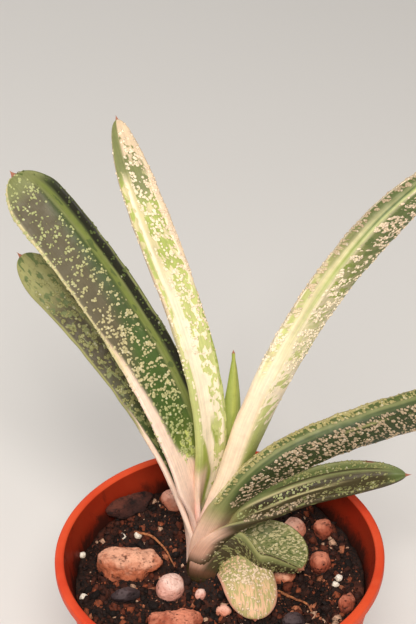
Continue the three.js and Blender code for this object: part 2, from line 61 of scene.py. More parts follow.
LEAF = dict(
    swing=0, arch=1.2, depart=14, flare=22, wrap=140, blade_wrap=12, roll_over=0.6,
    crease_base=0, crease_tip=0, valley=1.2, sheath_thickness=1.1, thickness=2.9,
    blunt=0.62, keel=0.25, tip=16, tip_power=0.5, mucro=1.6, mucro_radius=0.45,
)
LEAVES = {
    "leaf_low_curled": dict(
        z=60.8, seat=-40, sheath=4.3, wrap=95, heading=55, swing=-101, base_pitch=-12, tip_pitch=0,
        arch=1.3, length=27, width=21, tip_roll=7, depart=10, flare=9, tip=11, valley=0,
        blade_wrap=78, mucro=1,
    ),
    "leaf_low_tongue": dict(
        z=64, seat=-10, sheath=6.2, wrap=40, heading=-48, swing=-44, base_pitch=-9, tip_pitch=-36,
        arch=1, length=23, width=13.4, tip_roll=0, depart=8, flare=6, tip=9, valley=-0.6,
        blade_wrap=-14, mucro=0.6, thickness=3,
    ),
    "leaf_right_lower": dict(
        z=62, seat=-40, sheath=4.2, wrap=125, heading=22, swing=-28, base_pitch=53, tip_pitch=7,
        arch=1.9, length=59, width=10.8, tip_roll=-32, roll_over=0.5, depart=20, tip=18,
        tip_power=0.6, valley=2, blade_wrap=30,
    ),
    "leaf_right_upper": dict(
        z=62.5, seat=-40, sheath=3.7, wrap=125, heading=6, swing=13, base_pitch=103, tip_pitch=4,
        arch=2.7, length=90, width=11.2, tip_roll=104, roll_over=0.5, depart=22, flare=20, tip=18,
        crease_base=0.5, crease_tip=0.25, valley=1.5, blade_wrap=10,
    ),
    "leaf_left_back": dict(
        z=64, seat=140, sheath=3.5, wrap=115, heading=140, swing=3, base_pitch=93, tip_pitch=30,
        arch=1.9, length=90, width=10.8, tip_roll=42, depart=24, tip=11, crease_base=0.1,
        crease_tip=0.2,
    ),
    "leaf_right_pale": dict(
        z=64, seat=-40, sheath=3.2, wrap=130, heading=47, swing=-22, base_pitch=74, tip_pitch=22,
        arch=0.8, length=118, width=11.2, tip_roll=104, roll_over=0.5, depart=5, flare=30, tip=24,
        crease_base=0.55, crease_tip=0.25, valley=1.5, blade_wrap=10,
    ),
    "leaf_left_front": dict(
        z=66, seat=140, sheath=2.8, wrap=115, heading=140, swing=8, base_pitch=101, tip_pitch=41,
        arch=1.9, length=107, width=14.6, tip_roll=47, depart=18, tip=11, crease_base=0.3,
        crease_tip=0.35, valley=2,
    ),
    "leaf_centre_pale": dict(
        z=69, seat=140, sheath=2.2, wrap=120, heading=173, swing=-67, base_pitch=112, tip_pitch=33,
        arch=1, length=112, width=9, tip_roll=15, roll_over=0.6, depart=19, tip=26,
        crease_base=0, crease_tip=-0.4, valley=0.8,
    ),
    "leaf_centre_new": dict(
        z=72, seat=-40, sheath=1.8, wrap=120, heading=57, swing=35, base_pitch=44, tip_pitch=67,
        arch=1, length=45, width=6.2, tip_roll=139, depart=5, flare=14, tip=26, tip_power=0.9,
        valley=0.6, crease_base=0.2, crease_tip=0.2, thickness=2.2, mucro=1,
    ),
}

# How each stone lies and is shaped, and how finely, how often and how deeply its skin is worked.
STONE = dict(turn=0, tip=0, lump=0.1, sunk=0.3, fineness=5, chips=7, grain=0.3)
STONES = {
    "stone_tan_large": dict(
        slot="stone_tan", at=(-22.5, 4.5), size=(16, 12, 8), turn=-8, tip=6, lump=0.16, sunk=0.35,
        seed=3, fineness=6, chips=16, grain=0.55),
    "stone_tan_right": dict(
        slot="stone_tan", at=(15.8, 0.6), size=(7, 5.4, 4.6), turn=14, lump=0.12, sunk=0.35, seed=31,
        chips=8),
    "stone_red_brown": dict(
        slot="stone_red_brown", at=(-11, -15.5), size=(14.5, 9, 7), turn=4, lump=0.15, sunk=0.4, seed=5,
        fineness=6, chips=12, grain=0.6),
    "stone_brown_front": dict(slot="stone_red_brown", at=(25, 4.2), size=(6, 5.6, 6), turn=40, seed=37),
    "stone_brown_back": dict(
        slot="stone_red_brown", at=(26.4, 15.6), size=(5.6, 5.2, 6), turn=70, seed=41),
    "stone_brown_wall": dict(
        slot="stone_red_brown", at=(30.6, -9), size=(4.4, 6, 5), turn=-20, sunk=0.35, seed=43),
    "stone_white_round": dict(
        slot="stone_white", at=(-12.2, -3.6), size=(7.3, 7, 6.6), turn=20, lump=0.07, sunk=0.25, seed=7,
        fineness=6, chips=3, grain=0.12),
    "stone_white_small": dict(
        slot="stone_white", at=(-4.8, -6.2), size=(2.8, 3, 3.4), lump=0.06, sunk=0.25, seed=11, chips=3,
        grain=0.06),
    "stone_charcoal": dict(
        slot="stone_dark", at=(-23.2, -4.9), size=(7, 4.6, 4), turn=12, lump=0.2, sunk=0.35, seed=13,
        chips=10),
    "stone_dark_square": dict(
        slot="stone_dark", at=(17.4, -15.5), size=(6.2, 5, 4.6), turn=8, lump=0.12, sunk=0.35, seed=17,
        chips=14, grain=0.15),
    "stone_pink_behind": dict(
        slot="stone_pink", at=(18.9, 15.2), size=(6.4, 6, 6.6), turn=30, seed=19, chips=5, grain=0.15),
    "stone_pink_left": dict(
        slot="stone_pink", at=(-11.6, 27.2), size=(6, 6, 6.6), seed=23, chips=5, grain=0.15),
    "stone_pale_pink": dict(
        slot="stone_pink", at=(0.7, -10.6), size=(4, 3.6, 3.2), lump=0.08, seed=29, chips=4, grain=0.08),
    "bark_slab": dict(
        slot="bark", at=(-22.5, 24.8), size=(14.5, 6.5, 3), turn=36, tip=28, lump=0.14, sunk=-0.4,
        seed=47, fineness=6, chips=6, grain=0.5),
}
PERLITE_AT = ((-34.4, 9.4), (-33.4, -5), (-24.3, 15.4), (-20.6, 15.9), (28.2, -3.4), (29.2, -1.2))
PERLITE = dict(
    slot="perlite", size=(2.1, 2.1 * 0.85, 2.1 * 0.9), lump=0.12, fineness=4, chips=6, grain=0.16)
PERLITE_SEED = 60
THREADS = {
    "thread_left": ((-21.5, 17, 0.6), (-17, 14, 1.6), (-13.5, 9.5, 1.4), (-11, 4.5, 0.6)),
    "thread_right": ((14, -4.6, 0.5), (17.5, -7.4, 1.5), (21, -10.6, 1.4), (22.6, -14.6, 0.5)),
}
THREAD_RADIUS = 0.4
THREAD_RINGS = 60

# ---- colours


def paint(red, green, blue):
    """A colour from its 0 to 255 screen values, as the shaders count it."""
    def straight(value):
        value /= 255
        return value / 12.92 if value <= 0.04045 else ((value + 0.055) / 1.055) ** 2.4
    return (straight(red), straight(green), straight(blue), 1.0)


COLOUR = {name: paint(*screen) for name, screen in {
    "night": (32, 32, 18), "pine": (54, 64, 34), "bottle": (64, 78, 38), "forest": (70, 92, 42),
    "fern": (86, 98, 52), "moss": (98, 110, 64), "slate": (96, 88, 66), "peat": (52, 42, 20),
    "umber": (74, 66, 44), "vine": (112, 122, 60), "sage": (124, 128, 80), "olive": (148, 146, 94),
    "grass": (158, 170, 80), "reed": (176, 182, 94), "hay": (178, 166, 110), "lime": (200, 206, 120),
    "pear": (198, 202, 128), "pistachio": (184, 188, 128), "straw": (206, 194, 146),
    "sand": (192, 168, 138), "peach": (228, 186, 148), "cream": (253, 235, 204),
    "ivory": (220, 196, 164), "pearl": (242, 216, 186), "milk": (244, 214, 194),
    "blush": (214, 160, 134), "shell": (234, 200, 182), "blossom": (252, 214, 198),
    "flesh": (222, 182, 158), "husk": (204, 158, 134), "loam": (98, 66, 48), "rust": (112, 34, 26),
    "rose": (164, 100, 80),
}.items()}

# ---- arithmetic on arrays


def smooth(x):
    x = np.clip(x, 0, 1)
    return x * x * (3 - 2 * x)


def mix(a, b, t):
    return a + (b - a) * t


def rad(degrees):
    return np.radians(degrees)


def unit(vectors):
    return vectors / np.linalg.norm(vectors, axis=-1, keepdims=True)


def soft_noise(points, seed):
    """Smooth noise from -1 to 1, at points that are counted in cells of the noise."""
    cell = np.floor(points).astype(np.int64)
    inside = smooth(points - cell)
    total = np.zeros(points.shape[:-1])
    for corner in np.ndindex(2, 2, 2):
        step = np.array(corner)
        key = (cell + step) @ np.array([73856093, 19349663, 83492791]) + seed * 7919
        key = ((key ^ (key >> 13)) * 1274126177) & 0x7FFFFFFF
        value = ((key ^ (key >> 16)) & 0xFFFF) / 32767.5 - 1
        total += value * np.prod(np.where(step, inside, 1 - inside), axis=-1)
    return total


def rough_noise(points, seed, octaves=3):
    """Noise with finer and fainter noise on top of it."""
    layers = [soft_noise(points * 2 ** k, seed + k) / 2 ** k for k in range(octaves)]
    return sum(layers)


def stem_axis(z):
    share = (np.asarray(z, float) - FOOT[2]) / (CROWN[2] - FOOT[2])
    return FOOT + (CROWN - FOOT) * share[..., None]


def soil_height(x, y):
    swell = 0.5 * np.sin(0.21 * x + 1) * np.cos(0.17 * y) + 0.35 * np.sin(0.45 * x - 0.38 * y)
    from_foot = np.hypot(x - FOOT[0], y - FOOT[1])
    heap = SOIL_MOUND.height * np.exp(-(from_foot / SOIL_MOUND.spread) ** 2)
    return SOIL_LEVEL + 0.06 * y + swell + heap


def pot_wall_radius(z):
    return mix(POT.base_radius, POT.mouth_radius, z / (POT.height - POT.rim_depth))


# ---- meshes


def mesh_piece(name, points, faces, marks=None, smooth_shaded=True):
    """An object at the origin, from points in millimetres. Marks are values stored at the points."""
    mesh = bpy.data.meshes.new(name)
    mesh.from_pydata((np.asarray(points) * MM).tolist(), [], faces)
    mesh.polygons.foreach_set("use_smooth", [smooth_shaded] * len(mesh.polygons))
    for mark, values in (marks or {}).items():
        values = np.asarray(values, float)
        kinds = {1: ("FLOAT", "value"), 3: ("FLOAT_VECTOR", "vector"), 4: ("FLOAT_COLOR", "color")}
        kind, field = kinds[values.shape[1] if values.ndim > 1 else 1]
        mesh.attributes.new(mark, kind, "POINT").data.foreach_set(field, values.ravel())
    mesh.update()
    piece = bpy.data.objects.new(name, mesh)
    bpy.context.collection.objects.link(piece)
    return piece


def ring_faces(rings, around, closed=True):
    """Quads between rings of points that are numbered ring after ring."""
    faces = []
    for ring in range(0, (rings - 1) * around, around):
        for k in range(around if closed else around - 1):
            after = (k + 1) % around
            faces.append((ring + k, ring + after, ring + around + after, ring + around + k))
    return faces


def ball(subdivisions):
    """The points and faces of a fine unit ball."""
    shape = bmesh.new()
    bmesh.ops.create_icosphere(shape, subdivisions=subdivisions, radius=1)
    points = np.array([vertex.co[:] for vertex in shape.verts])
    faces = [tuple(vertex.index for vertex in face.verts) for face in shape.faces]
    shape.free()
    return unit(points), faces


def tube(points, radii, sides):
    """A closed tube round a path, with a radius at each of its points."""
    points = np.asarray(points, float)
    ahead = unit(np.gradient(points, axis=0))
    side = unit(np.cross(ahead, (0.31, 0.17, 0.94)))
    other = np.cross(ahead, side)
    angles = np.arange(sides) / sides * 2 * np.pi
    offsets = side[:, None] * np.cos(angles)[:, None] + other[:, None] * np.sin(angles)[:, None]
    rings = points[:, None] + offsets * np.asarray(radii)[:, None, None]
    faces = ring_faces(len(points), sides)
    count = len(points)
    faces.append(tuple(range(sides))[::-1])
    faces.append(tuple((count - 1) * sides + k for k in range(sides)))
    return rings.reshape(-1, 3), faces


def curve_through(points, count):
    """A smooth path through a few points."""
    points = np.asarray(points, float)
    padded = np.vstack([2 * points[0] - points[1], points, 2 * points[-1] - points[-2]])
    path = []
    for t in np.linspace(0, len(points) - 1 - 1e-9, count):
        i, f = int(t), t - int(t)
        a, b, c, d = padded[i:i + 4]
        path.append(0.5 * (2 * b + (c - a) * f + (2 * a - 5 * b + 4 * c - d) * f ** 2
                           + (3 * b - a - 3 * c + d) * f ** 3))
    return np.array(path)


# ---- node graphs


def sums(operation, swapped=False):
    """An operator of Value, which adds a Math node to its graph."""
    def operate(self, other):
        first, second = (other, self) if swapped else (self, other)
        return self.graph.node("ShaderNodeMath", {"operation": operation}, {0: first, 1: second})
    return operate


class Value:
    """A number, vector or colour that a node gives, so that sums on it read as Python."""

    __add__, __radd__ = sums("ADD"), sums("ADD", swapped=True)
    __sub__, __rsub__ = sums("SUBTRACT"), sums("SUBTRACT", swapped=True)
    __mul__, __rmul__ = sums("MULTIPLY"), sums("MULTIPLY", swapped=True)
    __pow__ = sums("POWER")
    above, most, least = sums("GREATER_THAN"), sums("MAXIMUM"), sums("MINIMUM")

    def __init__(self, graph, node, key=0):
        self.graph = graph
        self.node = node
        self.socket = node.outputs[key] if node.outputs else None

    def out(self, key):
        """The same node's output of another name or number."""
        return Value(self.graph, self.node, key)

    def between(self, low, high, first=0.0, last=1.0):
        """Goes smoothly from first to last as the number goes from low to high."""
        limits = {"Value": self, "From Min": low, "From Max": high, "To Min": first, "To Max": last}
        return self.graph.node("ShaderNodeMapRange", {"interpolation_type": "SMOOTHSTEP"}, limits)

    def vectors(self, operation, other):
        return self.graph.node("ShaderNodeVectorMath", {"operation": operation}, {0: self, 1: other})

    def moved(self, offset):
        return self.vectors("ADD", offset)

    def scaled(self, factors):
        return self.vectors("MULTIPLY", factors)


class Graph:
    """Builds a node tree, one node at a time."""

    def __init__(self, tree):
        self.tree = tree

    def node(self, kind, settings=None, inputs=None):
        node = self.tree.nodes.new(kind)
        for name, setting in (settings or {}).items():
            if name == "stops":
                self.set_stops(node.color_ramp, setting)
            else:
                setattr(node, name, setting)
        for key, value in (inputs or {}).items():
            if isinstance(value, Value):
                self.tree.links.new(value.socket, node.inputs[key])
            else:
                node.inputs[key].default_value = value
        return Value(self, node)

    @staticmethod
    def set_stops(ramp, stops):
        """Bands of one colour each. A stop is where its band starts, and its screen colour."""
        ramp.interpolation = "CONSTANT"
        while len(ramp.elements) < len(stops):
            ramp.elements.new(0.5)
        for element, (position, colour) in zip(ramp.elements, stops):
            element.position = position
            element.color = paint(*colour)


class Finish(Graph):
    """A material for one finish of the object."""

    def __init__(self, name):
        self.material = bpy.data.materials.new(name)
        self.material.use_nodes = True
        super().__init__(self.material.node_tree)
        self.tree.nodes.clear()

    def mark(self, name, key="Fac"):
        return self.node("ShaderNodeAttribute", {"attribute_name": name}).out(key)

    def where(self):
        return self.node("ShaderNodeTexCoord").out("Object")

    def noise(self, place, scale, detail=2.0, roughness=0.5, distortion=0.0):
        return self.node("ShaderNodeTexNoise", None, {
            "Vector": place, "Scale": scale, "Detail": detail, "Roughness": roughness,
            "Distortion": distortion,
        })

    def blend(self, first, second, share):
        return self.node("ShaderNodeMix", {"data_type": "RGBA"}, {0: share, 6: first, 7: second}).out(2)

    def bump(self, height, distance, strength=1.0):
        inputs = {"Height": height, "Distance": distance * MM, "Strength": strength}
        return self.node("ShaderNodeBump", None, inputs)

    def finish(self, colour, roughness, normal=None, constants=None):
        inputs = {"Base Color": colour, "Roughness": roughness, **(constants or {})}
        if normal is not None:
            inputs["Normal"] = normal
        shader = self.node("ShaderNodeBsdfPrincipled", None, inputs)
        self.node("ShaderNodeOutputMaterial", None, {"Surface": shader})
        return self.material


class Growth(Graph):
    """A Geometry Nodes tree that scatters small lumps over a piece and joins them to it."""

    def __init__(self, name, inputs):
        tree = bpy.data.node_groups.new(name, "GeometryNodeTree")
        tree.interface.new_socket("Geometry", in_out="INPUT", socket_type="NodeSocketGeometry")
        for label, kind in inputs:
            tree.interface.new_socket(label, in_out="INPUT", socket_type=f"NodeSocket{kind}")
        tree.interface.new_socket("Geometry", in_out="OUTPUT", socket_type="NodeSocketGeometry")
        super().__init__(tree)
        self.given = self.node("NodeGroupInput")

    def input(self, label):
        return self.given.out(label)

    def stored(self, name, kind="FLOAT"):
        settings = {"data_type": kind}
        return self.node("GeometryNodeInputNamedAttribute", settings, {"Name": name}).out("Attribute")

    def random(self, low, high, step):
        """A random number for each lump. Each step counts on from the tree's seed."""
        inputs = {2: low, 3: high, "Seed": self.input("Seed") + step}
        return self.node("FunctionNodeRandomValue", {"data_type": "FLOAT"}, inputs).out(1)

    def lumps(self, inputs):
        """A small round lump at each point, to be turned and stretched by the inputs."""
        lump = self.node("GeometryNodeMeshIcoSphere", None, {"Radius": 1.0, "Subdivisions": 1})
        lump = self.node("GeometryNodeSetShadeSmooth", None, {"Geometry": lump})
        return self.node("GeometryNodeInstanceOnPoints", None, {"Instance": lump, **inputs})

    def tagged(self, lumps, name, value):
        """The lumps with a number that stays on each of them."""
        settings = {"data_type": "FLOAT", "domain": "INSTANCE"}
        inputs = {"Geometry": lumps, "Name": name, "Value": value}
        return self.node("GeometryNodeStoreNamedAttribute", settings, inputs)

    def joined(self, lumps):
        """The finished tree: the piece and its lumps as one mesh of one material."""
        both = self.node("GeometryNodeJoinGeometry", None, {"Geometry": self.input("Geometry")})
        self.tree.links.new(lumps.socket, both.node.inputs["Geometry"])
        inputs = {"Geometry": both, "Material": self.input("Material")}
        whole = self.node("GeometryNodeSetMaterial", None, inputs)
        self.node("NodeGroupOutput", None, {"Geometry": whole})
        return self.tree


def grown(piece, tree, inputs):
    """The piece with what the tree grows on it, as a plain mesh."""
    modifier = piece.modifiers.new(tree.name, "NODES")
    modifier.node_group = tree
    sockets = {item.name: item.identifier for item in tree.interface.items_tree if item.in_out == "INPUT"}
    for label, value in inputs.items():
        modifier[sockets[label]] = value
    evaluated = piece.evaluated_get(bpy.context.evaluated_depsgraph_get())
    mesh = bpy.data.meshes.new_from_object(evaluated)
    piece.modifiers.remove(modifier)
    piece.data = mesh
    return piece


# ---- leaf shapes

RING_STEP = 0.6  # between the rings of a blade
TIP_RINGS = 22
MUCRO_RINGS = 6
AROUND = 64
SPINE_STEP = 0.25
RIPPLE = 0.1  # how deep the skin's waves are
MARGIN_WAVE = 0.14


def leaf_half_width(leaf, along):
    base = leaf.sheath * rad(leaf.wrap)
    opened = mix(base, leaf.width / 2, smooth(along / leaf.flare))
    tip_share = np.clip((along - (leaf.length - leaf.tip)) / leaf.tip, 0, 1)
    return np.maximum(opened * (1 - tip_share ** 2) ** leaf.tip_power, leaf.mucro_radius)


def leaf_direction(leaf, along):
    share = np.clip(along / leaf.length, 0, 1)
    heading = rad(leaf.heading + leaf.swing * share)
    pitch = rad(mix(leaf.tip_pitch, leaf.base_pitch, (1 - share) ** leaf.arch))
    free = np.stack(
        [np.cos(pitch) * np.cos(heading), np.cos(pitch) * np.sin(heading), np.sin(pitch)], axis=-1)
    stem = unit(CROWN - FOOT)
    return unit(stem + (free - stem) * smooth(along / leaf.depart)[..., None])


def leaf_spine(leaf, along):
    outward = np.array([np.cos(rad(leaf.seat)), np.sin(rad(leaf.seat)), 0])
    start = stem_axis(leaf.z) + leaf.sheath * outward
    fine = np.arange(0, leaf.length + SPINE_STEP, SPINE_STEP)
    steps = leaf_direction(leaf, fine[:-1] + SPINE_STEP / 2) * SPINE_STEP
    points = np.vstack([start, start + np.cumsum(steps, axis=0)])
    return np.stack([np.interp(along, fine, points[:, k]) for k in range(3)], axis=-1)


def leaf_axes(leaf, along, direction):
    share = np.clip(along / leaf.length, 0, 1)
    heading = rad(leaf.heading + leaf.swing * share)
    level = np.stack([np.sin(heading), -np.cos(heading), 0 * heading], axis=-1)
    level = unit(level - direction * np.sum(level * direction, axis=-1, keepdims=True))
    lifted = np.cross(level, direction)
    roll = rad(mix(leaf.heading - leaf.seat, leaf.tip_roll, smooth(share / leaf.roll_over)))[:, None]
    return level * np.cos(roll) + lifted * np.sin(roll), lifted * np.cos(roll) - level * np.sin(roll)


def leaf_grid(leaf):
    """Distances along a leaf and angles round it, as two grids."""
    blade = np.arange(0, leaf.length - leaf.tip, RING_STEP)
    tip_share = 0.995 * np.sin(np.linspace(0, 1, TIP_RINGS) * np.pi / 2)
    along = np.concatenate([blade, leaf.length - leaf.tip * (1 - tip_share)])
    angle = np.arange(AROUND) / AROUND * 2 * np.pi
    return np.meshgrid(along, angle, indexing="ij")


def leaf_points(leaf, along, angle, seed):
    """The skin's points, with gentle waves in it and in its margins."""
    distances = along[:, 0]
    direction = leaf_direction(leaf, distances)
    across, up = leaf_axes(leaf, distances, direction)
    half = leaf_half_width(leaf, along)
    opened = smooth(along / leaf.flare)
    share = np.minimum(half / (leaf.width / 2), 1)
    bend = rad(mix(leaf.wrap, leaf.blade_wrap, opened))
    radius = half / bend
    u = np.cos(angle)
    rounded = np.abs(np.sin(angle)) ** leaf.blunt
    crease = mix(leaf.crease_base, leaf.crease_tip, along / leaf.length)
    fold = leaf.valley * opened * share * (np.hypot(u - crease, 0.1) - 0.1)
    thickest = mix(leaf.sheath_thickness, leaf.thickness, opened) * share ** 0.6
    keel = 1 + leaf.keel * opened * (1 - np.abs(u - crease))
    upper = np.sin(angle) >= 0
    depth = np.maximum(np.where(upper, thickest * 0.4, thickest * 0.6 * keel) * rounded, 0)
    place = np.stack([u * half, along, np.where(upper, 0, 9)], axis=-1)
    ripple = RIPPLE * soft_noise(place * (0.45, 0.16, 1), seed) * opened * share
    reach = np.where(upper, 1, -1) * (depth + ripple * rounded)
    margin_wave = MARGIN_WAVE * soft_noise(place * (0.05, 0.3, 0), seed + 5) * opened * share
    turn = bend * u * (1 + margin_wave / np.maximum(half, 1) * np.abs(u))
    out = fold + reach
    x = radius * np.sin(turn) - np.sin(turn) * out
    y = radius * (1 - np.cos(turn)) + np.cos(turn) * out
    middle = leaf_spine(leaf, distances)
    return middle[:, None] + across[:, None] * x[..., None] + up[:, None] * y[..., None]


def leaf_tip(leaf, last_ring):
    """The small spine at the end of a leaf: rings that draw in to a point, and the point."""
    end = np.array([leaf.length])
    direction = leaf_direction(leaf, end)[0]
    middle = last_ring.mean(axis=0)
    rings = []
    for i in range(1, MUCRO_RINGS + 1):
        share = i / (MUCRO_RINGS + 1)
        rings.append(middle + direction * leaf.mucro * share + (last_ring - middle) * (1 - share) ** 1.5)
    return np.array(rings), middle + direction * leaf.mucro


# ---- leaf markings

ALL = (-2, 2)
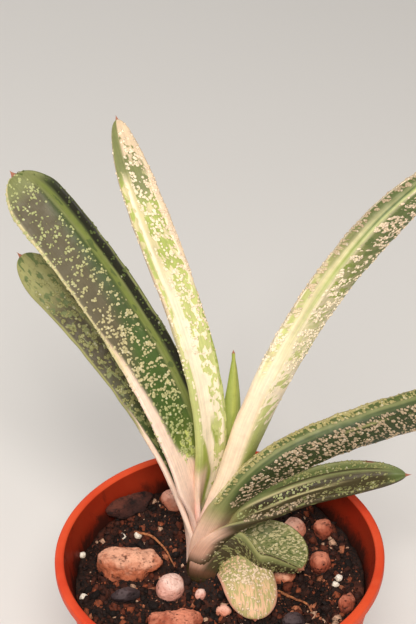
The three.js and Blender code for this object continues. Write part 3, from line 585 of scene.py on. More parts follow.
# What sets the look of each leaf, as layers: a layer's colour or amount, its share of the width, its
# share of the length, and how softly it starts and ends. The width runs from -1 to 1, and the length
# from 0 to 1. A limit given as a pair changes from base to tip. What a layer leaves out it takes from
# PLAIN_LAYER.
PLAIN_LAYER = (None, ALL, ALL, (0.1, 0.1))
LOOKS = {
    "leaf_left_front": dict(
        ground=[
            ("bottle",), ("forest", (-0.6, 0.5), (0.2, 0.62), (0.5, 0.2)),
            # The grey layer over the left half, from the middle to the tip, is a painted sheen: the waxy
            # reflection of the light.
            ("slate", (-2, (-1.2, 0.45)), (0.5, 2), (0.5, 0.2)),
            # The near-black layer on the right half is painted shade, where that half is turned away from
            # the light.
            ("night", (0.7, 2), (0.3, 0.95), (0.06, 0.15)), ("grass", ALL, (-1, 0.28), (0.1, 0.26)),
            ("sage", (0.43, 0.69), (0.16, 2), (0.05, 0.1)), ("vine", (0.48, 0.66), (0.3, 2), (0.08, 0.1)),
            ("bottle", (0.37, 0.43), (0.4, 0.9), (0.04, 0.1)), ("sage", ALL, (0.945, 2), (0.1, 0.05)),
            ("milk", (-2, (1.35, -4.4)), (-1, 0.3), (0.16, 0.06)),
            ("milk", (-2, (0.0, -1.5)), (0.26, 2), (0.16, 0.06)), ("shell", ALL, (-1, 0.14), (0.1, 0.05)),
            ("ivory", (-2, (-0.3, -1.2)), (0.5, 0.7)), ("straw", (-2, -0.9), (0.5, 2), (0.06, 0.1)),
            ("sage", (0.99, 2), (0.3, 2), (0.02, 0.1)),
        ],
        patch=[("lime",), ("fern", (0.42, 0.7), (0.3, 2))],
        patching=[
            (0.44, (-0.6, 0.44), (0.2, 0.36)), (0.34, (0.45, 0.68), (0.3, 2), (0.06, 0.1)),
            (0.0, (-2, (0.0, -1.5))),
        ],
        wart=[
            ("straw",), ("pistachio", ALL, (-1, 0.42)), ("pistachio", ALL, (0.75, 2), (0.1, 0.2)),
            # The dark green of the warts on the right half is painted shade too.
            ("fern", (0.5, 2)),
        ],
        warting=[
            (0.95, ALL, (0.24, 2), (0.1, 0.06)), (1.3, (-2, (0.2, -0.6)), (0.26, 0.7), (0.5, 0.1)),
            (0.66, ALL, (0.68, 2), (0.1, 0.06)), (0.5, (0.7, 2), (0.3, 0.95), (0.06, 0.1)),
            (0.0, (0.43, 0.7), ALL, (0.06, 0.1)), (0.0, (-2, (0.0, -1.5)), (-1, 0.6)),
        ],
        beading=[
            (0.7, (-2, -0.92), (0.3, 0.98), (0.04, 0.1)), (0.6, (0.31, 0.37), (0.58, 0.84), (0.03, 0.04)),
        ],
    ),
    "leaf_left_back": dict(
        ground=[
            ("bottle",), ("umber", ALL, (0.54, 2), (0.1, 0.2)), ("olive", ALL, (0.86, 2), (0.1, 0.16)),
            ("olive", (0.1, 0.3), (0.35, 2), (0.08, 0.2)), ("shell", ALL, (-1, 0.16), (0.1, 0.08)),
            ("milk", (-2, -0.84), (0.1, 0.5), (0.06, 0.2)), ("olive", (-2, -0.9), (0.4, 2), (0.06, 0.2)),
        ],
        patch=[("sage",), ("moss", ALL, (0.8, 2))],
        patching=[(0.42, (-0.8, 2), (0.2, 2))],
        wart=[("olive",)],
        warting=[
            (0.5, (-0.84, 2), (0.22, 0.98), (0.1, 0.08)), (1.2, (-0.84, 2), (0.44, 0.9), (0.1, 0.08)),
        ],
    ),
    "leaf_centre_pale": dict(
        ground=[
            ("cream",), ("grass", (-2, 0.4), (0.1, 0.28), (0.2, 0.06)),
            ("grass", (0.74, 2), (0.18, 0.6), (0.2, 0.2)),
            ("cream", (-0.76, -0.1), (0.25, 2), (0.08, 0.04)),
            ("pear", (-2, (-0.8, -0.7)), (0.2, 0.94), (0.08, 0.06)),
            ("cream", ((1.42, -7.18), (1.55, -4.85)), (-1, 0.26), (0.14, 0.04)),
            ("straw", (-0.5, 0.7), (0.66, 2), (0.2, 0.3)), ("ivory", ((1.3, 0.66), 2), (0.45, 2)),
            ("grass", (-2, -0.74), (0.7, 2), (0.1, 0.3)), ("sage", (-2, 0.8), (0.9, 2), (0.1, 0.04)),
            ("ivory", (-0.3, 2), (0.93, 2), (0.2, 0.03)), ("blossom", ALL, (-1, 0.13), (0.1, 0.06)),
            ("blossom", (-2, -0.3), (-1, 0.17), (0.4, 0.06)),
            ("ivory", (-2, -0.955), (0.5, 0.96), (0.03, 0.2)),
        ],
        patch=[
            ("pear",), ("grass", ALL, (0.66, 2), (0.1, 0.3)), ("sage", ALL, (0.85, 2), (0.1, 0.04)),
            ("cream", (-2, -0.6), ALL, (0.06, 0.1)), ("straw", (-2, -0.6), (0.6, 2), (0.06, 0.3)),
        ],
        patching=[
            (0.5, ((0.2, -0.4), (1.2, 0.6)), (0.16, 0.95), (0.12, 0.06)),
            (0.64, ((0.1, -0.36), (1.2, 0.6)), (0.44, 0.95), (0.12, 0.2)),
            (0.74, (-0.2, (1.1, 0.45)), (0.84, 0.93), (0.2, 0.03)),
            (0.46, (-0.95, (-0.8, -0.56)), (0.22, 0.93), (0.05, 0.06)),
        ],
        wart=[("cream",), ("pearl", (0.5, 2), (0.5, 2), (0.3, 0.3))],
        warting=[
            (0.85, (-0.34, 2), (0.46, 0.95), (0.12, 0.16)), (1.1, (-0.34, 2), (0.7, 0.95), (0.12, 0.2)),
            (0.95, ((1.2, 0.5), 2), (0.5, 0.97)),
        ],
        beading=[
            (0.8, (-2, -0.94), (0.4, 0.97), (0.03, 0.06)), (0.8, (0.92, 2), (0.46, 0.97), (0.03, 0.06)),
        ],
    ),
    "leaf_right_pale": dict(
        ground=[
            ("cream",), ("pearl", ALL, (-1, 0.44), (0.1, 0.2)), ("ivory", ALL, (-1, 0.24), (0.1, 0.2)),
            ("pear", (-2, 0.3), (0.12, 0.56), (0.5, 0.12)),
            ("grass", (-2, 0.2), (0.1, 0.28), (0.7, 0.12)), ("pear", (0.76, 2), (0.46, 2), (0.1, 0.2)),
            ("olive", (0.72, 2), (0.62, 2), (0.06, 0.2)), ("fern", (0.72, 2), (0.74, 2), (0.06, 0.2)),
            ("straw", (0.4, 0.72), (0.52, 2), (0.08, 0.2)),
            ("pistachio", (0.42, 0.6), (0.56, 2), (0.08, 0.2)),
            ("sage", (0.6, 0.73), (0.76, 2), (0.06, 0.16)),
            ("grass", (0.48, 0.58), (0.64, 2), (0.06, 0.16)),
            ("forest", (0.5, 0.57), (0.72, 2), (0.06, 0.2)), ("olive", (-2, 0.36), (0.6, 2), (0.1, 0.2)),
            ("moss", (-2, 0.36), (0.72, 2), (0.1, 0.2)), ("shell", (0.5, 2), (-1, 0.2), (0.4, 0.1)),
            ("shell", ALL, (-1, 0.09), (0.1, 0.06)), ("cream", (0.96, 2), (0.36, 2), (0.03, 0.1)),
        ],
        patch=[
            ("cream",), ("grass", ALL, (0.55, 2), (0.1, 0.2)), ("moss", ALL, (0.66, 2), (0.1, 0.2)),
            ("straw", (0.76, 2), ALL, (0.06, 0.2)),
        ],
        patching=[
            (0.46, (-2, 0.36), (0.29, 2)), (0.62, (-2, 0.36), (0.34, 0.54)),
            (0.4, (0.78, 2), (0.44, 0.7), (0.06, 0.1)),
        ],
        wart=[
            ("cream",), ("pearl", ALL, (0.72, 2), (0.1, 0.2)), ("ivory", (0.7, 2), (0.56, 2)),
            ("sand", (0.7, 2), (0.68, 2)),
        ],
        warting=[
            (0.6, (-2, 0.38), (0.36, 0.97), (0.08, 0.1)), (1.6, (-2, 0.38), (0.5, 0.97), (0.08, 0.1)),
            (1.7, (0.76, 2), (0.46, 0.97), (0.06, 0.1)),
        ],
        beading=[
            (0.85, (0.9, 2), (0.45, 0.97), (0.04, 0.06)), (0.85, (-2, -0.9), (0.36, 0.97), (0.04, 0.06)),
        ],
    ),
    "leaf_right_upper": dict(
        ground=[
            ("pine",), ("fern", (0.8, 2), ALL, (0.05, 0.1)), ("fern", (0.52, 0.8), ALL, (0.06, 0.1)),
            ("sage", (0.66, 0.78), (0.2, 2), (0.06, 0.1)),
            ("bottle", (0.55, 0.63), (0.3, 2), (0.05, 0.1)),
            ("olive", (0.27, 0.32), (0.6, 2), (0.04, 0.05)), ("olive", ALL, (-1, 0.24), (0.1, 0.12)),
            ("flesh", ALL, (-1, 0.18), (0.1, 0.12)), ("husk", ALL, (-1, 0.07), (0.1, 0.06)),
            ("straw", (0.96, 2), (0.24, 2), (0.03, 0.1)),
        ],
        patch=[("sage",)],
        patching=[(0.16, (-2, 0.5), (0.25, 2), (0.06, 0.1))],
        wart=[("sand",), ("hay", (0.76, 2))],
        warting=[
            (1.15, (-2, 0.5), (0.25, 0.97), (0.05, 0.05)), (1.7, (0.78, 2), (0.24, 0.97), (0.05, 0.06)),
        ],
        beading=[(0.8, (0.93, 2), (0.28, 0.97), (0.04, 0.06))],
    ),
    "leaf_right_lower": dict(
        ground=[
            ("umber",), ("peat", (-0.26, 0.02), (0.2, 0.7), (0.1, 0.3)),
            ("sage", (-2, -0.28), ALL, (0.06, 0.1)), ("fern", (-0.8, -0.5), (0.3, 0.9), (0.3, 0.2)),
            ("straw", (-0.36, -0.28), (0.24, 0.62), (0.05, 0.2)),
            ("straw", ((0.32, 0.02), (0.42, 0.12)), (0.28, 0.72), (0.05, 0.2)),
            ("peat", (-0.5, -0.4), (0.46, 0.94), (0.06, 0.1)), ("moss", ALL, (0.95, 2), (0.1, 0.06)),
            ("olive", ALL, (-1, 0.32), (0.1, 0.12)), ("flesh", ALL, (-1, 0.22), (0.1, 0.14)),
            ("rust", (-2, -0.9), (0.86, 0.885), (0.05, 0.01)),
        ],
        under=[
            ("umber",), ("flesh", (0.62, 2), (-1, 0.23), (0.2, 0.08)),
            # The very dark brown at the foot of the underside is painted shade, low down by the soil.
            ("husk", (0.5, 2), (-1, 0.16), (0.2, 0.06)), ("peat", ALL, (-1, 0.09), (0.1, 0.06)),
        ],
        patch=[("sage",)],
        patching=[(0.3, (0.4, 2), (0.3, 0.95))],
        wart=[
            ("pistachio",), ("sand", (0.36, 2)), ("olive", ALL, (0.62, 2), (0.1, 0.2)),
            ("olive", (-2, -0.5)),
        ],
        warting=[
            (0.8, (-0.26, 0.22), (0.26, 0.96), (0.05, 0.05)), (1.1, (0.42, 2), (0.3, 0.97), (0.05, 0.05)),
            (1.0, (-2, -0.52), (0.46, 0.97), (0.05, 0.1)),
        ],
        warting_under=[(0.8, (-2, 0.6), (0.1, 0.95))],
        beading=[(0.8, (-2, -0.92), (0.4, 0.94), (0.04, 0.06))],
    ),
    "leaf_low_curled": dict(
        ground=[
            ("sage",), ("umber", (0.6, 2), ALL, (0.08, 0.1)),
            ("olive", (0.1, 0.62), (0.28, 2), (0.14, 0.1)), ("fern", (0.2, 0.34), (0.4, 2)),
            ("olive", (-2, -0.94), ALL, (0.04, 0.1)), ("husk", ALL, (-1, 0.2), (0.1, 0.12)),
            ("rust", (0.4, 0.6), (0.87, 0.9), (0.1, 0.02)),
        ],
        under=[
            ("umber",), ("forest", (-2, 0.2), ALL, (0.3, 0.1)),
            ("husk", (0.62, 2), (-1, 0.24), (0.2, 0.08)), ("sage", (0.86, 2), (0.26, 2), (0.08, 0.1)),
            # The two dark browns over the foot of the underside are painted shade, low down by the soil.
            ("olive", (0.95, 2), (0.26, 2), (0.04, 0.1)), ("loam", ALL, (-1, 0.17), (0.1, 0.05)),
            ("peat", ALL, (-1, 0.13), (0.1, 0.05)),
        ],
        patch=[("fern",)],
        patching=[(0.4, (-0.9, 0.0), (0.2, 0.97))],
        wart=[("straw",), ("olive", (0.1, 2))],
        warting=[
            (1.15, (-2, 0.02), (0.1, 0.97), (0.06, 0.1)), (0.8, (0.64, 2), (0.2, 0.97), (0.06, 0.1)),
        ],
        warting_under=[(1.05, (-0.96, 0.88), (0.2, 0.97), (0.06, 0.1))],
    ),
    "leaf_low_tongue": dict(
        ground=[
            ("hay",), ("peach", (-0.85, 0.85), (0.6, 2), (0.5, 0.3)),
            ("blush", (0.9, 2), (0.2, 2), (0.08, 0.2)), ("blush", (-2, -0.9), (0.6, 2), (0.08, 0.3)),
            # The sage layer on the left of the base half is a painted shadow, cast by the curled leaf
            # above it.
            ("sage", (-2, -0.5), (-1, 0.36), (0.1, 0.05)),
        ],
        patch=[("olive",), ("hay", ALL, (0.5, 2), (0.1, 0.3))],
        patching=[(0.56, (-0.88, 0.88)), (0.5, (-0.8, 0.7), (0.56, 0.96), (0.2, 0.2))],
        wart=[
            ("peach",), ("pearl", ALL, (0.4, 2), (0.1, 0.3)),
            ("straw", (-2, -0.5), (-1, 0.36), (0.1, 0.05)),
        ],
        warting=[
            (1.25, (-0.95, 0.95), (0.1, 0.66), (0.06, 0.3)), (0.5, (-0.95, 0.95), (0.66, 2), (0.06, 0.3)),
        ],
    ),
    "leaf_centre_new": dict(
        ground=[("grass",), ("reed", (-0.4, 0.6), ALL, (0.5, 0.1))],
        patch=[("grass",)],
        patching=[(0.4,)],
    ),
}
# How the markings of each leaf are woven: the size of a fleck in mm across and along, how far apart the
# clumps of them are across and along, how much the rows slant, the size of the lime patches, and how
# many times larger it all is at the leaf's base.
LEAF_WEAVE = dict(
    fleck=(1.0, 0.95), clump=(4.0, 1.9), slant=0.2, clumping=0.75, patch=(1.3, 3.0), knob=0.36,
    swell=1.01)
WEAVES = {
    "leaf_left_front": dict(
        fleck=(0.7, 0.74), clump=(3.4, 1.5), slant=0.05, clumping=0.75, patch=(1.4, 3.0), knob=0.28,
        swell=1.25),
    "leaf_left_back": dict(fleck=(0.92, 1.0), slant=0.1, clumping=0.6, knob=0.29),
    "leaf_centre_pale": dict(
        fleck=(0.76, 0.84), clump=(2.4, 2.4), slant=0.3, clumping=0.5, patch=(1.4, 2.2), knob=0.28),
    "leaf_right_pale": dict(
        fleck=(0.92, 0.76), clump=(6.0, 1.7), slant=0.7, clumping=1.0, patch=(2.2, 1.9), knob=0.33,
        swell=1.4),
    "leaf_right_upper": dict(
        fleck=(0.76, 0.66), clump=(4.5, 1.4), slant=0.6, clumping=0.45, patch=(1.4, 3.4), knob=0.28),
    "leaf_right_lower": dict(fleck=(0.7, 0.66), clump=(3.2, 1.5), slant=0.4, clumping=0.5, knob=0.26),
    "leaf_low_curled": dict(
        fleck=(0.62, 0.6), clump=(2.6, 1.8), slant=0.6, clumping=0.2, patch=(0.7, 0.8), knob=0.25),
    "leaf_low_tongue": dict(
        fleck=(0.6, 0.66), clump=(2.0, 2.0), slant=0, clumping=0.25, patch=(0.5, 2.8), knob=0.23),
    "leaf_centre_new": dict(patch=(0.7, 5.0)),
}
BAND_WANDER = 0.05  # how far the edges of the layers stray
KNOB_SPACING = 1.45  # between the middles of two knobs, in knobs
KNOB_DENSITY = 5e6  # points tried in a square metre, before those too near to another are dropped


def limit_at(limit, share):
    return mix(limit[0], limit[1], share) if isinstance(limit, tuple) else limit


def band(across, along, softness, u, share):
    """How far the points lie in a band of a leaf, from 0 to 1."""
    side, end = softness
    inside = smooth((u - limit_at(across[0], share)) / side + 0.5)
    inside = inside * smooth((limit_at(across[1], share) - u) / side + 0.5)
    inside = inside * smooth((share - along[0]) / end + 0.5)
    return inside * smooth((along[1] - share) / end + 0.5)


def leaf_marks(name, leaf, along, angle, seed):
    """What the leaf's finish and its warts read at each point of the skin."""
    u = np.cos(angle)
    share = along / leaf.length
    half = leaf_half_width(leaf, along)
    lower = np.sin(angle) < 0
    wander = BAND_WANDER * soft_noise(np.stack([u * 0 + 3, along * 0.09, 0 * u], -1), seed)
    layers = {}
    for what, laid in LOOKS[name].items():
        layers[what] = 0.0
        for layer in laid:
            value, across, length, softness = layer + PLAIN_LAYER[len(layer):]
            value = np.array(COLOUR[value] if isinstance(value, str) else [value], float)
            inside = band(across, length, softness, u + wander, share + wander)[..., None]
            layers[what] = mix(layers[what], value, inside)
    weave = {**LEAF_WEAVE, **WEAVES[name]}
    blank = np.zeros(u.shape + (1,))
    ground = layers["ground"]
    warting = layers.get("warting", blank)
    if "under" in layers:
        ground = np.where(lower[..., None], layers["under"], ground)
        warting = np.where(lower[..., None], layers["warting_under"], warting)
    way = leaf_direction(leaf, along[:, 0])[:, None] + 0 * ground[..., :3]
    across = u * half
    girth = mix(weave["swell"], 1.0, share)
    eased = leaf.length * np.log(girth / weave["swell"]) / (1.0 - weave["swell"])
    across_cells = across / girth
    slanted = eased + weave["slant"] * across_cells
    side = np.where(lower, 9.0, 0.0) + seed

    def cell_place(size, length):
        return np.stack([across_cells / size[0], length / size[1], side], axis=-1)

    return {
        "ground": ground,
        "patch": layers.get("patch", ground) + 0 * ground,
        "patching": layers.get("patching", blank)[..., 0] + 0 * u,
        "wart": layers.get("wart", ground) + 0 * ground,
        "warting": warting[..., 0] + 0 * u,
        "spine": smooth((along - leaf.length + 0.25) / 0.25),
        "beading": layers.get("beading", blank)[..., 0] + 0 * u,
        "place": np.stack([across, along, side], axis=-1),
        "fleck_place": cell_place(weave["fleck"], slanted),
        "clump_place": cell_place(weave["clump"], slanted),
        "patch_place": cell_place(weave["patch"], slanted),
        "way": way,
    }


def fleck_pattern(graph, fleck_place, clump_place, amount, beading, clumping):
    """How far a point of the skin lies in a pale fleck. Colours and raised warts share this pattern."""
    warp = graph.node("ShaderNodeTexNoise", None, {"Vector": fleck_place, "Scale": 0.9, "Detail": 2.0})
    warped = fleck_place.moved(warp.out("Color").scaled((0.7, 0.7, 0.0)))
    cell = graph.node("ShaderNodeTexVoronoi", None, {"Vector": warped, "Scale": 1.0, "Randomness": 0.9})
    chances = graph.node("ShaderNodeSeparateXYZ", None, {0: cell.out("Color")})
    clump = graph.node("ShaderNodeTexNoise", None, {"Vector": clump_place, "Scale": 1.0, "Detail": 1.5})
    kept = clump.between(0.38, 0.58) * clumping * 1.5 + (1 - clumping)
    chance = amount * kept - chances.out("X")
    reach = (chance * 0.6 + 0.24).least(0.56) * chance.above(0.0)
    in_fleck = (reach - cell.out("Distance")).between(-0.02, 0.1)
    return in_fleck.most(beading * (0.42 - cell.out("Distance")).between(-0.02, 0.1))


def leaf_finish(name, clumping):
    """Waxy leaf skin: ground colour, streaky patches, fine lengthwise lines and pale raised warts."""
    f = Finish(name)
    place = f.mark("place", "Vector")
    bead = f.mark("bead")
    streak = f.noise(f.mark("patch_place", "Vector"), 1.0, 2.5, 0.5, 0.3)
    shown = (streak + (f.mark("patching") - 0.5) * 0.5).between(0.47, 0.54)
    shown = shown * f.mark("patching").above(0.02)
    ground = f.mark("ground", "Color")
    skin = f.blend(ground, f.mark("patch", "Color"), shown)
    lines = f.noise(place.scaled((3.6, 0.12, 3.6)), 1.0, 2.0)
    cloud = f.noise(place, 0.5, 3.0, 0.6)
    skin = skin.scaled(lines.between(0.25, 0.75, 0.9, 1.09) * cloud.between(0.3, 0.8, 1.05, 0.9))
    flecks = fleck_pattern(
        f, f.mark("fleck_place", "Vector"), f.mark("clump_place", "Vector"), f.mark("warting"),
        f.mark("beading"), clumping)
    wart = f.mark("wart", "Color")
    wart = f.blend(wart, ground, cloud.between(0.4, 0.8) * 0.35)
    skin = f.blend(skin, wart, flecks * 0.86)
    wart = f.blend(wart, ground, bead.between(0.7, 1.0) * 0.25)
    wart = f.blend(wart, paint(255, 246, 222), bead.between(0.5, 0.3) * 0.25)
    skin = f.blend(skin, wart, bead.above(0.05))
    skin = f.blend(skin, COLOUR["rose"], f.mark("spine"))
    grain = f.noise(place, 3.4, 2.0)
    height = lines * 0.4 + grain * 0.35 + flecks * 1.6
    normal = f.bump(height, 0.09)
    shine = (cloud.between(0.3, 0.7) * 0.14 + 0.4) + bead * 0.05
    return f.finish(skin, shine, normal, {
        "Specular IOR Level": 0.22, "Subsurface Weight": 0.1, "Subsurface Scale": 1.5 * MM,
        "Subsurface Radius": (1.0, 0.8, 0.4),
    })


def wart_growth():
    """Raises small knobs from the flecks of a leaf's skin and joins them to it."""
    g = Growth("leaf warts", [
        ("Spacing", "Float"), ("Density", "Float"), ("Size", "Float"), ("Clumping", "Float"),
        ("Seed", "Int"), ("Material", "Material"),
    ])
    amount, beading = g.stored("warting"), g.stored("beading")
    scattered = g.node("GeometryNodeDistributePointsOnFaces", {"distribute_method": "POISSON"}, {
        "Mesh": g.input("Geometry"), "Distance Min": g.input("Spacing"),
        "Density Max": g.input("Density"), "Density Factor": (amount + beading).above(0.02),
        "Seed": g.input("Seed"),
    })
    in_fleck = fleck_pattern(
        g, g.stored("fleck_place", "FLOAT_VECTOR"), g.stored("clump_place", "FLOAT_VECTOR"), amount,
        beading, g.input("Clumping"))
    upright = g.node("FunctionNodeAlignRotationToVector", {"axis": "X", "pivot_axis": "Z"}, {
        "Rotation": scattered.out("Rotation"), "Vector": g.stored("way", "FLOAT_VECTOR"),
    })
    swivel = g.node("FunctionNodeAxisAngleToRotation", None, {
        "Axis": (0, 0, 1), "Angle": g.random(0.0, 3.1, 1),
    })
    turned = g.node("FunctionNodeRotateRotation", {"rotation_space": "LOCAL"}, {
        "Rotation": upright, "Rotate By": swivel,
    })
    size = g.input("Size") * g.random(0.75, 1.2, 2)
    scale = g.node("ShaderNodeCombineXYZ", None, {
        0: size * g.random(1.0, 1.45, 3), 1: size, 2: size * g.random(0.5, 0.8, 4),
    })
    warts = g.tagged(g.lumps({
        "Points": scattered, "Selection": in_fleck.above(0.4), "Rotation": turned, "Scale": scale,
    }), "bead", g.random(0.3, 1.0, 5))
    return g.joined(g.node("GeometryNodeRealizeInstances", None, {"Geometry": warts}))


def make_leaf(index, name, settings, growth):
    leaf = SimpleNamespace(**{**LEAF, **settings})
    seed = 100 + 17 * index
    along, angle = leaf_grid(leaf)
    points = leaf_points(leaf, along, angle, seed)
    marks = leaf_marks(name, leaf, along, angle, seed)
    rings, apex = leaf_tip(leaf, points[-1])
    count = len(points) + len(rings)
    skin = np.vstack([points.reshape(-1, 3), rings.reshape(-1, 3), apex[None]])
    tails = len(rings) * AROUND + 1
    for mark, values in marks.items():
        flat = values.reshape(len(points) * AROUND, -1)
        flat = np.vstack([flat, np.repeat(flat[-1:], tails, axis=0)])
        marks[mark] = flat[:, 0] if flat.shape[1] == 1 else flat
    for mark, value in (("spine", 0.9), ("warting", 0), ("beading", 0)):
        marks[mark][-tails:] = value
    last, twin = (count - 1) * AROUND, AROUND // 2
    faces = ring_faces(count, AROUND)
    faces += [(last + k, last + (k + 1) % AROUND, len(skin) - 1) for k in range(AROUND)]
    faces += [(k + 1, k, AROUND - k if k else 0, AROUND - k - 1) for k in range(1, twin - 1)]
    faces += [(1, 0, AROUND - 1), (twin, twin - 1, twin + 1)]
    piece = mesh_piece(name.replace("leaf", "gasteria_leaf"), skin, [face[::-1] for face in faces], marks)
    weave = {**LEAF_WEAVE, **WEAVES[name]}
    finish = leaf_finish(name.replace("_", " "), weave["clumping"])
    piece.data.materials.append(finish)
    if marks["warting"].max() > 0:
        grown(piece, growth, {
            "Spacing": weave["knob"] * KNOB_SPACING * MM, "Density": KNOB_DENSITY,
            "Size": weave["knob"] * MM, "Clumping": weave["clumping"], "Seed": seed, "Material": finish,
        })
    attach(piece, "root")
    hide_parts(name)
    return piece


# ---- pot

POT_SIDES = 192
BASE_HOLLOW = 0.9  # how far the middle of the base is raised
INSIDE_RINGS = 30  # of the profile, counted back from the floor to the inner lip


def arc(centre, radius, start, stop, steps):
    """Points of an arc in the pot's profile."""
    angles = rad(np.linspace(start, stop, steps))
    return [(centre[0] + radius * np.cos(a), centre[1] + radius * np.sin(a)) for a in angles]


def pot_profile():
    """The pot's outline from under its base to its floor, as (distance from the axis, height)."""
    rim_foot = POT.height - POT.rim_depth
    outer = POT.rim_radius
    inner = POT.rim_radius - POT.rim_width
    round_over = 0.7
    profile = [(9, BASE_HOLLOW), (10, 0.0), (POT.base_radius - POT.base_round, 0.0)]
    profile += arc((POT.base_radius - POT.base_round, POT.base_round), POT.base_round, -80, 0, 6)
    profile += [(pot_wall_radius(z), z) for z in np.linspace(4, rim_foot - 0.4, 26)]
    profile += arc((pot_wall_radius(rim_foot) + 0.4, rim_foot - 0.4), 0.4, 180, 90, 4)
    profile += arc((outer - 0.45, rim_foot + 0.45), 0.45, -90, 0, 5)
    profile += arc((outer - round_over, POT.height - round_over), round_over, 0, 90, 7)
    profile += arc((inner + round_over, POT.height - round_over), round_over, 90, 180, 7)
    profile += [(pot_wall_radius(z) - POT.wall, z) for z in np.linspace(rim_foot - 0.8, 4, 26)]
    profile += [(pot_wall_radius(POT.floor) - POT.wall - 0.8, POT.floor + 0.3)]
    profile += [(pot_wall_radius(POT.floor) - POT.wall - 2, POT.floor)]
    return np.array(profile, float)


def make_pot():
    profile = pot_profile()
    angles = np.arange(POT_SIDES) / POT_SIDES * 2 * np.pi
    r, z = profile[:, :1], profile[:, 1:]
    wobble = 0.05 * np.sin(2 * angles + 0.6) + 0.03 * np.sin(3 * angles + 2)
    r = r + wobble * smooth((z - 30) / 40)
    points = np.stack([r * np.cos(angles), r * np.sin(angles), z + 0 * angles], axis=-1)
    count = len(profile)
    inside = np.zeros((count, POT_SIDES))
    inside[-INSIDE_RINGS:] = 1
    faces = ring_faces(count, POT_SIDES)
    last, base_centre, floor_centre = (count - 1) * POT_SIDES, count * POT_SIDES, count * POT_SIDES + 1
    faces += [(base_centre, (k + 1) % POT_SIDES, k) for k in range(POT_SIDES)]
    faces += [(floor_centre, last + k, last + (k + 1) % POT_SIDES) for k in range(POT_SIDES)]
    centres = [(0, 0, BASE_HOLLOW), (0, 0, POT.floor)]
    marks = {"inside": np.append(inside.ravel(), [0, 1])}
    piece = mesh_piece("nursery_pot", np.vstack([points.reshape(-1, 3), centres]), faces, marks)
    cutters = bmesh.new()
    for i in range(DRAIN.count):
        angle = i / DRAIN.count * 2 * math.pi
        place = Matrix.Translation(Vector((
            DRAIN.ring * math.cos(angle), DRAIN.ring * math.sin(angle), POT.floor / 2)) * MM)
        bmesh.ops.create_cone(
            cutters, cap_ends=True, segments=28, radius1=DRAIN.radius * MM, radius2=DRAIN.radius * MM,
            depth=3 * POT.floor * MM, matrix=place)
    cutter_mesh = bpy.data.meshes.new("drain cutters")
    cutters.to_mesh(cutter_mesh)
    cutters.free()
    cutter = bpy.data.objects.new("drain cutters", cutter_mesh)
    bpy.context.collection.objects.link(cutter)
    hole = piece.modifiers.new("drain", "BOOLEAN")
    hole.object = cutter
    hole.operation = "DIFFERENCE"
    hole.solver = "EXACT"
    evaluated = piece.evaluated_get(bpy.context.evaluated_depsgraph_get())
    piece.data = bpy.data.meshes.new_from_object(evaluated)
    piece.modifiers.clear()
    bpy.data.objects.remove(cutter)
    piece.data.materials.clear()
    piece.data.materials.append(pot_finish())
    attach(piece, "root")
    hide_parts("pot")


def pot_finish():
    """Orange-red moulded plastic, dusty outside, with soil smeared on the inside of the wall, and the
    whole inner wall painted darker as painted shade.
    """
    f = Finish("orange-red pot plastic")
    here = f.where()
    parts = f.node("ShaderNodeSeparateXYZ", None, {0: here})
    height = parts.out("Z")
    inside = f.mark("inside")
    cloud = f.noise(here, 55, 4.0, 0.6)
    colour = f.blend(paint(222, 82, 46), paint(206, 62, 34), cloud.between(0.35, 0.7))
    speck = f.noise(here, 900, 3.0, 0.6)
    colour = f.blend(colour, paint(238, 112, 76), speck.between(0.6, 0.75) * 0.14)
    streaks = f.noise(here.scaled((220, 220, 130)), 1.0, 4.0, 0.65, 0.6)
    near_soil = height.between(0.0665, 0.060)
    smear = (streaks + near_soil * 0.3).between(0.54, 0.84) * inside
    # Painted shade: the whole inner wall is painted a deep dark red.
    colour = f.blend(colour, paint(120, 26, 10), inside * 0.75)
    colour = f.blend(colour, paint(52, 18, 10), near_soil * inside * 0.7)
    colour = f.blend(colour, paint(36, 18, 11), smear * 0.8)
    scuff = f.noise(here.scaled((90, 90, 700)), 1.0, 3.0, 0.6)
    dust = scuff.between(0.56, 0.7) * (1 - inside) * height.between(0.058, 0.066, 1.0, 0.2)
    colour = f.blend(colour, paint(214, 150, 120), dust * 0.22)
    roughness = 0.42 + cloud * 0.12 + smear * 0.45 + dust * 0.15
    normal = f.bump(scuff * 0.4 + speck * 0.25 + smear * 1.5, 0.05)
    return f.finish(colour, roughness, normal, {"Specular IOR Level": 0.12})


# ---- soil


